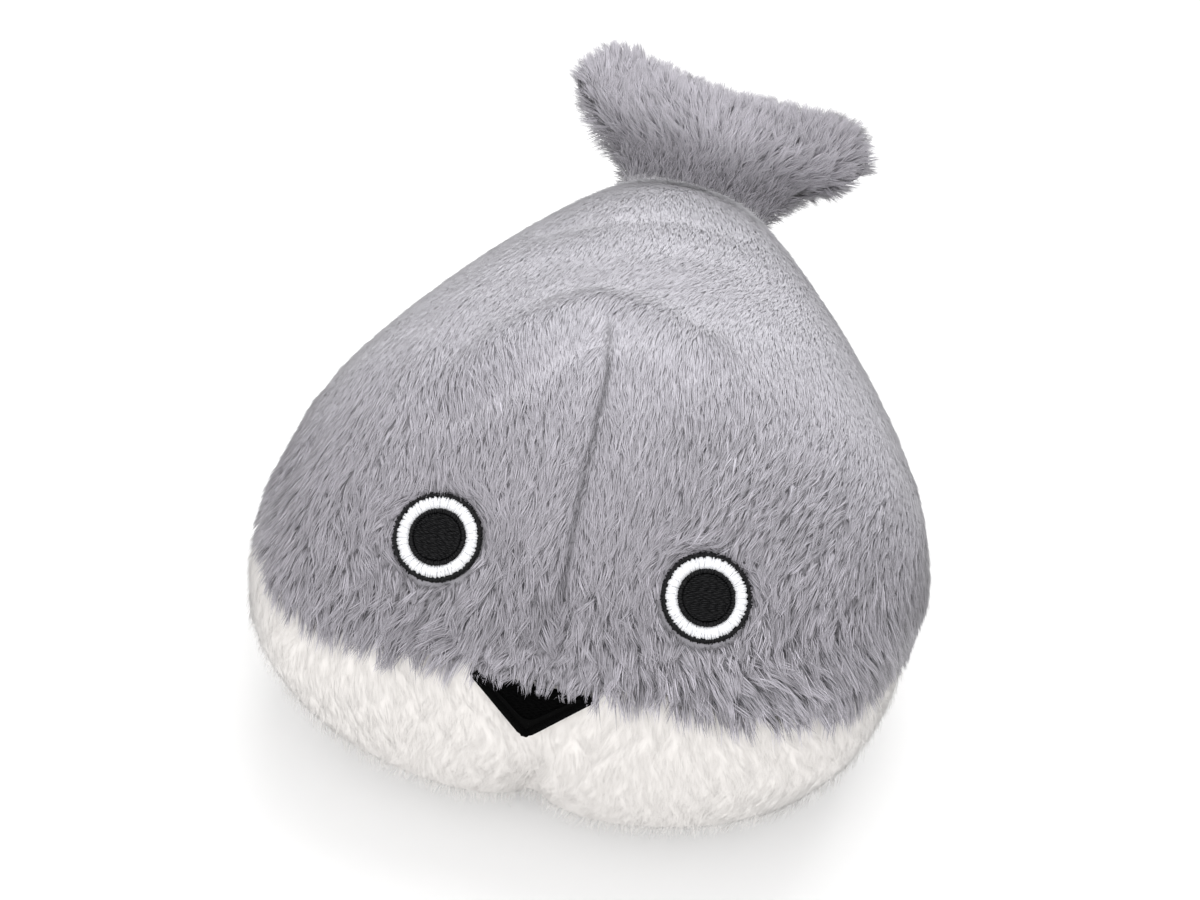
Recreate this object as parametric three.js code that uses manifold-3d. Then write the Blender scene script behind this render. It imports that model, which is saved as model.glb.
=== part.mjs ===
// Plush prehistoric fish: a stuffed toy with a grey pile back, a white pile belly, embroidered ring eyes,
// a stitched mouth and a stuffed tail fin set crosswise. Millimetres, +Z up, face towards -Y, tail towards +Y.
import * as THREE from 'three';
import { mergeVertices } from 'three/addons/utils/BufferGeometryUtils.js';
import Module from 'manifold-3d';

// Body, over the pile. Lengths along Y are counted from the widest section.
const bodyHalfWidth = 85;
const bodyHeight = 109.4;
const noseLength = 74;
const tailLength = 124;
const lipHeight = 63.5;
const bellySag = 4.3;
const flankHeight = 49.3;
const fabricThickness = 8;

// Tail root, the flat edge that the fin is sewn to, and the set that the tail has taken.
const rootHalfWidth = 19;
const rootHalfHeight = 2;
const rootHeight = 61.3;
const tailTwist = 5;
const tailYaw = 2.7;
const tailTurnStart = 40;
const bodySway = 3.85;
const bodySwayStart = -45;
const bodySwayRun = 50;

// Roundness of the body: exponents of its outlines, larger is squarer.
const noseRound = 3.5;
const chinRound = 4.1;
const upperRound = 2;
const lowerRound = 2.6;

// How the face, the taper in plan, the back and the underside fall away from the widest section.
const [facePower, faceRoot] = [1.7, 1.15];
const [taperPower, taperRoot] = [1.38, 1.02];
const [backPower, backRoot] = [1.45, 0.57];
const underPower = 2.5;

// Darts: sewn grooves down the face and the chin.
const faceDartDepth = 3;
const faceDartTop = 2;
const faceDartRun = 22;
const faceDartReach = 0.9;
const faceDartLean = 5;
const chinDartDepth = 4;
const chinDartEnd = -40;
const chinDartRun = 15;
const chinDartReach = 0.97;
const dartSpread = 6;
const dartFadeHeight = 28;
const crownLift = 2.5;
const crownLength = 14;
const crownBreadth = 34;

// Seam line between back and belly, in side view.
const seamCheekStart = -42;
const seamCheekHeight = 58;
const seamFlankStart = -8;
const seamFlankHeight = 44;
const seamLowHeight = 27;
const seamLowStart = 25;
const seamLowEnd = 58;
const seamOverrun = 30;
const seamOverrise = 10;

// Tail fin, in its own plane. Lengths are counted from the sewn root.
const finHalfSpan = 49.5;
const finLength = 47;
const finHalfThickness = 10;
const finFabric = 4.5;
const finPitch = 18;
const finRound = 1.7;

// Right half of the fin's edge, from the sewn root round the tip to the middle of its free end.
const finEdge = new THREE.SplineCurve([
  new THREE.Vector2(rootHalfWidth, 0),
  new THREE.Vector2(finHalfSpan * 0.82, finLength * 0.36),
  new THREE.Vector2(finHalfSpan, finLength * 0.64),
  new THREE.Vector2(finHalfSpan * 0.915, finLength * 0.915),
  new THREE.Vector2(finHalfSpan * 0.7, finLength),
  new THREE.Vector2(finHalfSpan * 0.35, finLength * 0.94),
  new THREE.Vector2(0, finLength * 0.915),
]);

// Eyes: radii of the stitched rings, from the outside in.
const eyeSpacing = 65.9;
const eyeSetback = 24;
const eyeRadius = 10.8;
const eyeWhiteRadius = 9.6;
const eyeRimRadius = 7;
const eyePupilRadius = 5.6;
const eyePadThickness = 1;
const satinHeight = 1.1;
const satinShoulder = 0.35;
const pupilHeight = 0.7;
const eyePocketDepth = 3.2;

// Mouth: a triangle below the lip, point down.
const mouthWidth = 31;
const mouthHeight = 18;
const mouthDrop = 1.8;
const mouthShift = -2.6;
const mouthPatchThickness = 1;
const mouthPocketDepth = 3;
const mouthBorderWidth = 2;
const mouthTipHalfWidth = 1.9;
const mouthTipRise = 1.5;
const mouthMitre = 1.6;

// Sewing thread and the clearances between sewn pieces.
const threadRadius = 0.5;
const rootThreadRadius = 0.7;
const rootThreadReach = 18;
const clearance = 0.3;
const rootThreadClearance = 0.4;
const rootGap = 1.2;
const stuffingClearance = 0.5;

const radians = THREE.MathUtils.degToRad;
const wasm = await Module();
wasm.setup();

const materials = {
  greyPile: new THREE.MeshStandardMaterial({ color: 0x8e8b91, roughness: 0.95, metalness: 0 }),
  whitePile: new THREE.MeshStandardMaterial({ color: 0xf1eee9, roughness: 0.95, metalness: 0 }),
  blackThread: new THREE.MeshStandardMaterial({ color: 0x1a1a1c, roughness: 0.6, metalness: 0 }),
  whiteThread: new THREE.MeshStandardMaterial({ color: 0xf5f5f3, roughness: 0.55, metalness: 0 }),
  felt: new THREE.MeshStandardMaterial({ color: 0x202023, roughness: 0.95, metalness: 0 }),
  fibreFill: new THREE.MeshStandardMaterial({ color: 0xf8f8f6, roughness: 1, metalness: 0 }),
  greyThread: new THREE.MeshStandardMaterial({ color: 0x77757a, roughness: 0.7, metalness: 0 }),
};

const toy = new THREE.Group();

// Solids from closed geometry, for cutting and joining.
function solidOf(geometry) {
  const plain = geometry.clone();
  plain.deleteAttribute('normal');
  plain.deleteAttribute('uv');
  const merged = mergeVertices(plain, 1e-4);
  const vertProperties = new Float32Array(merged.attributes.position.array);
  const triVerts = new Uint32Array(merged.index.array);
  return new wasm.Manifold(new wasm.Mesh({ numProp: 3, vertProperties, triVerts }));
}

function geometryOf(solid) {
  const cut = solid.getMesh();
  const geometry = new THREE.BufferGeometry();
  const positions = new Float32Array(cut.numVert * 3);
  for (let vertex = 0; vertex < cut.numVert; vertex += 1) {
    for (let axis = 0; axis < 3; axis += 1) {
      positions[vertex * 3 + axis] = cut.vertProperties[vertex * cut.numProp + axis];
    }
  }
  geometry.setAttribute('position', new THREE.BufferAttribute(positions, 3));
  geometry.setIndex(new THREE.BufferAttribute(new Uint32Array(cut.triVerts), 1));
  geometry.computeVertexNormals();
  return geometry;
}

function addPiece(name, geometry, material, parent = toy) {
  const piece = new THREE.Mesh(geometry, material);
  piece.name = name;
  parent.add(piece);
  return piece;
}

// A closed skin over rings of points: a fan closes each end.
function skinOver(rings) {
  const corners = [];
  const faces = [];
  const count = rings[0].length;
  const addCorner = (point) => corners.push(point.x, point.y, point.z) / 3 - 1;
  const centreOf = (ring) => ring.reduce((sum, p) => sum.add(p), new THREE.Vector3()).divideScalar(count);
  const rows = rings.map((ring) => ring.map(addCorner));
  const start = addCorner(centreOf(rings[0]));
  const end = addCorner(centreOf(rings[rings.length - 1]));
  const last = rows[rows.length - 1];
  for (let side = 0; side < count; side += 1) {
    const next = (side + 1) % count;
    faces.push(start, rows[0][side], rows[0][next]);
    faces.push(end, last[next], last[side]);
    for (let row = 0; row < rows.length - 1; row += 1) {
      const [a, b] = [rows[row][side], rows[row][next]];
      const [c, d] = [rows[row + 1][side], rows[row + 1][next]];
      faces.push(a, c, b, b, c, d);
    }
  }
  const geometry = new THREE.BufferGeometry();
  geometry.setAttribute('position', new THREE.Float32BufferAttribute(corners, 3));
  geometry.setIndex(faces);
  geometry.computeVertexNormals();
  return geometry;
}

// A thread: a six-sided tube along a curve.
function threadAlong(points, radius, steps) {
  const section = new THREE.Shape();
  const sides = 6;
  for (let side = 0; side < sides; side += 1) {
    const angle = (side / sides) * Math.PI * 2;
    const corner = [radius * Math.cos(angle), radius * Math.sin(angle)];
    if (side === 0) section.moveTo(...corner);
    else section.lineTo(...corner);
  }
  section.closePath();
  const extrudePath = new THREE.CatmullRomCurve3(points, false, 'catmullrom', 0.5);
  return new THREE.ExtrudeGeometry(section, { extrudePath, steps, bevelEnabled: false });
}

// Body form: outlines in plan and side view at a distance y from the widest section, drawn in by an inset.
const fall = (share, power, root) => Math.pow(Math.max(1 - Math.pow(share, power), 0), root);

function bodyOutline(y, inset) {
  const nose = noseLength - inset;
  const tail = tailLength - inset;
  const width = bodyHalfWidth - inset;
  const crown = bodyHeight - inset;
  const floor = inset - bellySag;
  if (y < 0) {
    const share = Math.min(-y / nose, 1);
    return {
      halfWidth: width * fall(share, noseRound, 1 / noseRound),
      top: lipHeight + (crown - lipHeight) * fall(share, facePower, faceRoot),
      bottom: lipHeight - (lipHeight - floor) * fall(share, chinRound, 1 / chinRound),
      flank: flankHeight + (lipHeight - flankHeight) * share * share,
    };
  }
  const share = Math.min(y / tail, 1);
  const rootWidth = rootHalfWidth - inset / 2;
  const rootTall = rootHalfHeight * (1 - inset / (inset + rootHalfHeight));
  return {
    halfWidth: rootWidth + (width - rootWidth) * fall(share, taperPower, taperRoot),
    top: rootHeight + rootTall + (crown - rootHeight - rootTall) * fall(share, backPower, backRoot),
    bottom: floor + (rootHeight - rootTall - floor) * Math.pow(share, underPower),
    flank: flankHeight + (rootHeight - flankHeight) * share * share,
  };
}

// Behind the face the body has slumped to its left, and the tail has a slight twist and turn that grow to the root.
function tailSet(y) {
  const share = THREE.MathUtils.clamp((y - tailTurnStart) / (tailLength - tailTurnStart), 0, 1);
  return {
    twist: radians(tailTwist) * share * share,
    sway: bodySway * THREE.MathUtils.smoothstep(y, bodySwayStart, bodySwayStart + bodySwayRun),
    lean: Math.tan(radians(tailYaw)) * share,
  };
}

// The face dart leans over, from the middle of the lip to one side of the crown.
function faceDartAcross(y) {
  return -Math.tan(radians(faceDartLean)) * (y + noseLength);
}

function dartDepth(x, y, upper) {
  const middle = upper ? faceDartAcross(y) : 0;
  const across = Math.exp(-(((x - middle) / dartSpread) ** 2));
  if (upper) {
    const along = THREE.MathUtils.smoothstep(faceDartTop - y, 0, faceDartRun);
    const crown = crownLift * Math.exp(-(((y - faceDartTop) / crownLength) ** 2) - (x / crownBreadth) ** 2);
    return faceDartDepth * across * along - crown;
  }
  return chinDartDepth * across * THREE.MathUtils.smoothstep(chinDartEnd - y, 0, chinDartRun);
}

// A point on the body at a section y and an angle round it, 0 on the left flank and 90 degrees on top.
function bodyPoint(y, angle, inset) {
  const { halfWidth, top, bottom, flank } = bodyOutline(y, inset);
  const upper = Math.sin(angle) >= 0;
  const round = upper ? upperRound : lowerRound;
  const across = Math.sign(Math.cos(angle)) * Math.pow(Math.abs(Math.cos(angle)), 2 / round);
  const along = Math.pow(Math.abs(Math.sin(angle)), 2 / round);
  const x = halfWidth * across;
  const reach = upper ? top - flank : bottom - flank;
  const dart = dartDepth(x, y, upper) * along * Math.min(1, Math.abs(reach) / dartFadeHeight);
  const z = Math.max(flank + reach * along - (upper ? dart : 0), inset);
  const { twist, sway, lean } = tailSet(y);
  const rise = z - rootHeight;
  return new THREE.Vector3(
    x * Math.cos(twist) + rise * Math.sin(twist) + sway,
    y + (upper ? 0 : dart) - x * lean,
    rootHeight + rise * Math.cos(twist) - x * Math.sin(twist),
  );
}

// Facets: sections along the body, sides of a quarter section, points on the fin's edge and thread steps.
const noseSteps = 10;
const tailSteps = 11;
const quarterSides = 7;
const sideEase = 1.5;
const ringSides = 24;
const finEdgePoints = 13;
const seamCutSteps = 40;
const seamLookupSteps = 200;
const seamThreadSteps = 48;
const dartThreadSteps = 10;
const finThreadSteps = 36;

function sectionAngles() {
  const angles = [];
  for (let quarter = 0; quarter < 4; quarter += 1) {
    for (let side = 0; side < quarterSides; side += 1) {
      const share = side / quarterSides;
      const towardsMiddle = quarter % 2 === 0;
      const eased = towardsMiddle ? 1 - Math.pow(1 - share, sideEase) : Math.pow(share, sideEase);
      angles.push((quarter + eased) * (Math.PI / 2));
    }
  }
  return angles;
}

function bodyStations(inset) {
  const stations = [];
  for (let step = 1; step <= noseSteps; step += 1) {
    stations.push(-(noseLength - inset) * Math.cos((step / noseSteps) * (Math.PI / 2)));
  }
  for (let step = 1; step <= tailSteps; step += 1) {
    stations.push((tailLength - inset) * Math.sin((step / tailSteps) * (Math.PI / 2)));
  }
  return stations;
}

function bodyForm(inset) {
  const angles = sectionAngles();
  const rings = bodyStations(inset).map((y) => angles.map((angle) => bodyPoint(y, angle, inset)));
  return solidOf(skinOver(rings));
}

// Seam line in side view, and the solid of everything below it.
const seamLine = new THREE.SplineCurve([
  new THREE.Vector2(-noseLength - seamOverrun, lipHeight),
  new THREE.Vector2(-noseLength, lipHeight),
  new THREE.Vector2(seamCheekStart, seamCheekHeight),
  new THREE.Vector2(seamFlankStart, seamFlankHeight),
  new THREE.Vector2(seamLowStart, seamLowHeight),
  new THREE.Vector2(seamLowEnd, seamLowHeight),
  new THREE.Vector2((seamLowEnd + tailLength) / 2, (seamLowHeight + rootHeight) / 2),
  new THREE.Vector2(tailLength, rootHeight),
  new THREE.Vector2(tailLength + seamOverrun, rootHeight + seamOverrise),
]);

function belowSeam(shift) {
  const line = seamLine.getPoints(seamCutSteps);
  const depth = bodyHalfWidth * 3;
  const first = line[0];
  const last = line[line.length - 1];
  const side = new THREE.Shape([
    new THREE.Vector2(first.x, -bodyHeight),
    new THREE.Vector2(last.x, -bodyHeight),
    ...line.reverse().map((point) => new THREE.Vector2(point.x, point.y + shift)),
  ]);
  const block = new THREE.ExtrudeGeometry(side, { depth, bevelEnabled: false });
  block.translate(0, 0, -depth / 2);
  // The side view's axes become Y and Z, and the extrusion runs along X.
  block.applyMatrix4(new THREE.Matrix4().set(0, 0, 1, 0, 1, 0, 0, 0, 0, 1, 0, 0, 0, 0, 0, 1));
  return solidOf(block);
}

// The place and facing of a patch on the body: Z out of the body, Y up its surface.
function seatOn(y, angle) {
  const step = 0.01;
  const point = bodyPoint(y, angle, 0);
  const alongY = bodyPoint(y + step, angle, 0).sub(bodyPoint(y - step, angle, 0));
  const round = bodyPoint(y, angle + step, 0).sub(bodyPoint(y, angle - step, 0));
  const out = new THREE.Vector3().crossVectors(alongY, round).normalize();
  if (out.dot(new THREE.Vector3(0, y, point.z - flankHeight).add(new THREE.Vector3(point.x, 0, 0))) < 0) {
    out.negate();
  }
  const side = new THREE.Vector3(0, 0, 1).cross(out).normalize();
  const up = new THREE.Vector3().crossVectors(out, side);
  return new THREE.Matrix4().makeBasis(side, up, out).setPosition(point);
}

function discGeometry(radius, low, high) {
  const disc = new THREE.CylinderGeometry(radius, radius, high - low, ringSides);
  disc.rotateX(Math.PI / 2);
  disc.translate(0, 0, (low + high) / 2);
  return disc;
}

// A satin-stitched ring: flat below, crowned on top.
function satinRing(inner, outer, low) {
  const middle = (inner + outer) / 2;
  const half = (outer - inner) / 2;
  const profile = [new THREE.Vector2(inner, low), new THREE.Vector2(outer, low)];
  const crownSteps = 3;
  for (let step = 0; step <= crownSteps; step += 1) {
    const angle = (step / crownSteps) * Math.PI;
    const height = low + satinHeight * (satinShoulder + (1 - satinShoulder) * Math.sin(angle));
    profile.push(new THREE.Vector2(middle + half * Math.cos(angle), height));
  }
  profile.push(profile[0].clone());
  const ring = new THREE.LatheGeometry(profile, ringSides);
  ring.rotateX(Math.PI / 2);
  return ring;
}

// Eyes: each sits in a pocket in the pile, on a felt pad.
const eyeY = eyeSetback - noseLength;
const eyeAcross = eyeSpacing / 2 / bodyOutline(eyeY, 0).halfWidth;
const eyeAngle = Math.acos(Math.pow(eyeAcross, upperRound / 2));
const eyeSeats = { left: seatOn(eyeY, eyeAngle), right: seatOn(eyeY, Math.PI - eyeAngle) };
const eyePocketRadius = eyeRadius + clearance;

function eyePocket(seat) {
  const pocket = discGeometry(eyePocketRadius, -eyePocketDepth, fabricThickness);
  return solidOf(pocket.applyMatrix4(seat));
}

function addEye(side) {
  const eye = new THREE.Group();
  eye.applyMatrix4(eyeSeats[side]);
  const padLow = clearance - eyePocketDepth;
  const padHigh = padLow + eyePadThickness;
  const stitchLow = padHigh + clearance;
  addPiece(`eye_pad_${side}`, discGeometry(eyeRadius, padLow, padHigh), materials.felt, eye);
  const rings = [
    [`eye_outer_ring_${side}`, eyeWhiteRadius + clearance, eyeRadius, materials.blackThread],
    [`eye_white_ring_${side}`, eyeRimRadius + clearance, eyeWhiteRadius, materials.whiteThread],
    [`eye_pupil_rim_${side}`, eyePupilRadius + clearance, eyeRimRadius, materials.blackThread],
  ];
  for (const [name, inner, outer, material] of rings) {
    addPiece(name, satinRing(inner, outer, stitchLow), material, eye);
  }
  const pupil = discGeometry(eyePupilRadius, stitchLow, stitchLow + pupilHeight);
  addPiece(`eye_pupil_${side}`, pupil, materials.blackThread, eye);
  toy.add(eye);
}

// Mouth: a triangle with a rounded lower point, in a pocket in the white pile just below the lip.
function mouthOutline(grow) {
  const half = mouthWidth / 2 + grow * mouthMitre;
  const point = -mouthHeight - grow * mouthMitre;
  const shape = new THREE.Shape();
  shape.moveTo(-half, grow);
  shape.lineTo(-mouthTipHalfWidth, point + mouthTipRise);
  shape.quadraticCurveTo(0, point, mouthTipHalfWidth, point + mouthTipRise);
  shape.lineTo(half, grow);
  shape.closePath();
  return shape;
}

function mouthSlab(grow, low, high) {
  const slab = new THREE.ExtrudeGeometry(mouthOutline(grow), {
    depth: high - low,
    curveSegments: 5,
    bevelEnabled: false,
  });
  slab.translate(0, 0, low);
  return slab;
}

// The mouth faces forwards, so its own Y is up and its own Z points to -Y.
const mouthSeat = new THREE.Matrix4()
  .makeBasis(new THREE.Vector3(1, 0, 0), new THREE.Vector3(0, 0, 1), new THREE.Vector3(0, -1, 0))
  .setPosition(mouthShift, -noseLength, lipHeight - mouthDrop);

function addMouth() {
  const mouth = new THREE.Group();
  mouth.applyMatrix4(mouthSeat);
  const patchLow = clearance - mouthPocketDepth;
  const patchHigh = patchLow + mouthPatchThickness;
  addPiece('mouth_patch', mouthSlab(-clearance, patchLow, patchHigh), materials.blackThread, mouth);
  const borderLow = patchHigh + clearance;
  const borderHigh = borderLow + satinHeight;
  const outer = solidOf(mouthSlab(-clearance, borderLow, borderHigh));
  const inner = mouthSlab(-clearance - mouthBorderWidth, borderLow - clearance, borderHigh + clearance);
  // The border follows the two lower sides, so its opening runs out through the top.
  inner.translate(0, mouthBorderWidth + clearance * 2, 0);
  const border = geometryOf(outer.subtract(solidOf(inner)));
  addPiece('mouth_border', border, materials.blackThread, mouth);
  toy.add(mouth);
}

// Seam and dart threads lie just inside the fabric, in grooves of the stuffing.
const threadInset = fabricThickness + clearance + threadRadius;
const seamThreadShort = 12;

function seamThreadPath() {
  const left = [];
  const right = [];
  const inset = threadInset;
  const stations = bodyStations(inset).filter((y) => y < tailLength - fabricThickness - seamThreadShort);
  for (const y of stations) {
    const { bottom, flank, top } = bodyOutline(y, inset);
    const height = seamHeightAt(y);
    const upper = height > flank;
    const reach = upper ? top - flank : flank - bottom;
    const along = THREE.MathUtils.clamp(Math.abs(height - flank) / Math.max(reach, 1e-6), 0, 1);
    const round = upper ? upperRound : lowerRound;
    const angle = Math.asin(Math.pow(along, round / 2)) * (upper ? 1 : -1);
    left.push(bodyPoint(y, angle, inset));
    right.unshift(bodyPoint(y, Math.PI - angle, inset));
  }
  return [...right, ...left];
}

function seamHeightAt(y) {
  const line = seamLine.getPoints(seamLookupSteps);
  const next = line.findIndex((point) => point.x > y);
  const [a, b] = [line[next - 1], line[next]];
  return a.y + ((b.y - a.y) * (y - a.x)) / (b.x - a.x);
}

function dartThreadPoints(from, to, upper) {
  const points = [];
  for (let step = 0; step <= dartThreadSteps; step += 1) {
    const y = from + ((to - from) * step) / dartThreadSteps;
    const across = upper ? faceDartAcross(y) / bodyOutline(y, threadInset).halfWidth : 0;
    const lean = Math.asin(Math.sign(across) * Math.pow(Math.abs(across), upperRound / 2));
    points.push(bodyPoint(y, (upper ? 1 : -1) * (Math.PI / 2 - lean), threadInset));
  }
  return points;
}

const noseInside = noseLength - threadInset;
const seamPath = seamThreadPath();
const faceDartPath = dartThreadPoints(-noseInside * faceDartReach, faceDartTop, true);
const chinDartPath = dartThreadPoints(-noseInside * chinDartReach, chinDartEnd, false);

// Body: back and belly panels split at the seam, stuffing inside.
function addBody() {
  const half = clearance / 2;
  const grooveRadius = threadRadius + clearance;
  const grooves = [
    threadAlong(seamPath, grooveRadius, seamThreadSteps),
    threadAlong(faceDartPath, grooveRadius, dartThreadSteps),
    threadAlong(chinDartPath, grooveRadius, dartThreadSteps),
  ].map(solidOf);
  const cutFrom = (solid, cutters) => cutters.reduce((rest, cutter) => rest.subtract(cutter), solid);

  const shell = cutFrom(bodyForm(0), [bodyForm(fabricThickness), ...grooves]);
  const pockets = [eyePocket(eyeSeats.left), eyePocket(eyeSeats.right)];
  const mouthPocket = solidOf(mouthSlab(0, -mouthPocketDepth, fabricThickness).applyMatrix4(mouthSeat));
  const back = cutFrom(shell, [belowSeam(half), ...pockets, mouthPocket]);
  const belly = shell.intersect(belowSeam(-half)).subtract(mouthPocket);
  addPiece('back_panel', geometryOf(back), materials.greyPile);
  addPiece('belly_panel', geometryOf(belly), materials.whitePile);

  const stuffing = cutFrom(bodyForm(fabricThickness + stuffingClearance), grooves);
  addPiece('body_stuffing', geometryOf(stuffing), materials.fibreFill);
  const trim = materials.greyThread;
  addPiece('belly_seam_thread', threadAlong(seamPath, threadRadius, seamThreadSteps), trim);
  addPiece('face_dart_thread', threadAlong(faceDartPath, threadRadius, dartThreadSteps), trim);
  addPiece('chin_dart_thread', threadAlong(chinDartPath, threadRadius, dartThreadSteps), trim);
}

// Tail fin, in its own plane: X across, Y from the sewn root to the free edge, Z up.
function finOutline(inset) {
  const rightEdge = [];
  for (let step = 0; step < finEdgePoints; step += 1) {
    const point = finEdge.getPoint(step / finEdgePoints);
    const along = finEdge.getTangent(step / finEdgePoints);
    rightEdge.push(new THREE.Vector2(point.x - along.y * inset, point.y + along.x * inset));
  }
  const leftEdge = rightEdge.map(({ x, y }) => new THREE.Vector2(-x, y)).reverse();
  return [...rightEdge, new THREE.Vector2(0, finEdge.getPoint(1).y - inset), ...leftEdge];
}

// Half a pillow over the fin's outline: flat at its seam and swelling to a crown.
function halfPillow(inset, crown, base, sink) {
  const outline = finOutline(inset).reverse();
  const middle = new THREE.Vector2(0, finLength / 2);
  const shares = [1, 0.95, 0.82, 0.6, 0.3];
  const ringAt = (share, height) => outline.map((point) => {
    const at = middle.clone().lerp(point, share);
    return new THREE.Vector3(at.x, at.y, height);
  });
  const rings = shares.map((share) => ringAt(share, base + (crown - base) * fall(share, finRound, 1 / finRound)));
  return solidOf(skinOver([ringAt(1, base - sink), ...rings.slice(sink > 0 ? 0 : 1)]));
}

function flipped(solid) {
  return solid.rotate([0, 180, 0]);
}

const finSeat = new THREE.Group();
const rootSet = tailSet(tailLength);
finSeat.position.set(rootSet.sway, tailLength + rootGap, rootHeight);
finSeat.rotation.order = 'ZYX';
finSeat.rotation.set(radians(finPitch), rootSet.twist, -Math.atan(rootSet.lean));

function addFin() {
  const half = clearance / 2;
  const channelRadius = rootThreadRadius + rootThreadClearance;
  const channel = new THREE.CylinderGeometry(channelRadius, channelRadius, finHalfSpan * 3, 16);
  const rootChannel = solidOf(channel.rotateZ(Math.PI / 2));
  const insideCrown = finHalfThickness - finFabric;
  const inside = halfPillow(finFabric, insideCrown, half, clearance);
  const panel = halfPillow(0, finHalfThickness, half, 0).subtract(inside).subtract(rootChannel);
  const edgeInset = finFabric + clearance + threadRadius;
  const edge = finOutline(edgeInset).map((point) => new THREE.Vector3(point.x, point.y, 0));
  const fillInset = edgeInset + threadRadius + stuffingClearance;
  const upperFill = halfPillow(fillInset, insideCrown - stuffingClearance, 0, 0);
  const fill = upperFill.add(flipped(upperFill));
  const groove = solidOf(threadAlong(edge, threadRadius + clearance, finThreadSteps));
  const sewn = panel.subtract(groove);
  addPiece('tail_fin_upper_panel', geometryOf(sewn), materials.greyPile, finSeat);
  addPiece('tail_fin_lower_panel', geometryOf(flipped(sewn)), materials.greyPile, finSeat);
  addPiece('tail_fin_stuffing', geometryOf(fill.subtract(groove)), materials.fibreFill, finSeat);
  addPiece('fin_edge_thread', threadAlong(edge, threadRadius, finThreadSteps), materials.greyThread, finSeat);
  toy.add(finSeat);
}

// The thread of the tail root runs along the line that the fin folds on.
function addRootThread() {
  const along = new THREE.CylinderGeometry(rootThreadRadius, rootThreadRadius, rootThreadReach * 2, 10);
  along.rotateZ(Math.PI / 2);
  const holder = new THREE.Group();
  holder.position.copy(finSeat.position);
  holder.rotation.copy(finSeat.rotation);
  addPiece('tail_root_thread', along, materials.greyThread, holder);
  toy.add(holder);
}

addBody();
addEye('left');
addEye('right');
addMouth();
addFin();
addRootThread();

// The origin is on the floor, under the middle of the whole toy.
const bounds = new THREE.Box3().setFromObject(toy, true);
const middle = bounds.getCenter(new THREE.Vector3());
toy.position.set(-middle.x, -middle.y, -bounds.min.z);

export default toy;
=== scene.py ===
import math

import bpy
import numpy as np
from mathutils import Matrix, Vector
from mathutils.bvhtree import BVHTree
from mathutils.kdtree import KDTree


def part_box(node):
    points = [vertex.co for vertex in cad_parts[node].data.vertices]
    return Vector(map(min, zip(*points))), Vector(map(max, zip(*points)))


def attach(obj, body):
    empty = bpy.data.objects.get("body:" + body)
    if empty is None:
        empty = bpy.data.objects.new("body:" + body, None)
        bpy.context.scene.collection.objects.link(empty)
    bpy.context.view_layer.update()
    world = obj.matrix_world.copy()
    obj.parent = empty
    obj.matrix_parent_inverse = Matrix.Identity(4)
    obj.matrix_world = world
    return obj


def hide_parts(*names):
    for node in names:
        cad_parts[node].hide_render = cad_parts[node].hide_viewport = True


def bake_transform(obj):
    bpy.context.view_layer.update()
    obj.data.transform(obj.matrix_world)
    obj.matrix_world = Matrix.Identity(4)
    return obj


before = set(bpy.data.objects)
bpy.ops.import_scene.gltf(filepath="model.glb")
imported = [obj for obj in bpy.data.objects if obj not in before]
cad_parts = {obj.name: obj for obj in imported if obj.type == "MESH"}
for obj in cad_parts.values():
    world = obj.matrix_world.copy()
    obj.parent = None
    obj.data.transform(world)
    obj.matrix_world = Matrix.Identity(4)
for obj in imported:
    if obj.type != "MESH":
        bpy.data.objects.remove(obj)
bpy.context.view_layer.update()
scene = bpy.context.scene
mm = 0.001
print("frame loaded:", len(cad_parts), "nodes")


# Small helpers for arrays
def unit(vectors):
    return vectors / np.maximum(np.linalg.norm(vectors, axis=-1, keepdims=True), 1e-12)


def ease(low, high, value):
    share = np.clip((np.asarray(value, float) - low) / (high - low), 0.0, 1.0)
    return share * share * (3.0 - 2.0 * share)


def mix(a, b, share):
    return a + (b - a) * share


# Camera at the photograph's viewing angle
view = {
    "azimuth": 4.082, "elevation": 42.142, "roll": 9.841, "distance": 0.704863,
    "target": (-0.00449, -0.048754, 0.073961), "lens": 84.0, "sensor": 36.0,
}


def addCamera():
    azimuth, elevation, roll = (math.radians(view[key]) for key in ("azimuth", "elevation", "roll"))
    back = Vector((math.sin(azimuth) * math.cos(elevation), -math.cos(azimuth) * math.cos(elevation),
                   math.sin(elevation)))
    right = Vector((0, 0, 1)).cross(back).normalized()
    up = back.cross(right)
    across = right * math.cos(roll) + up * math.sin(roll)
    upright = up * math.cos(roll) - right * math.sin(roll)
    bpy.ops.object.camera_add()
    camera = bpy.context.object
    camera.data.lens = view["lens"]
    camera.data.sensor_width = view["sensor"]
    place = Matrix((across, upright, back)).transposed().to_4x4()
    place.translation = Vector(view["target"]) + back * view["distance"]
    camera.matrix_world = place
    scene.camera = camera


addCamera()
print("camera placed")


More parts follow.
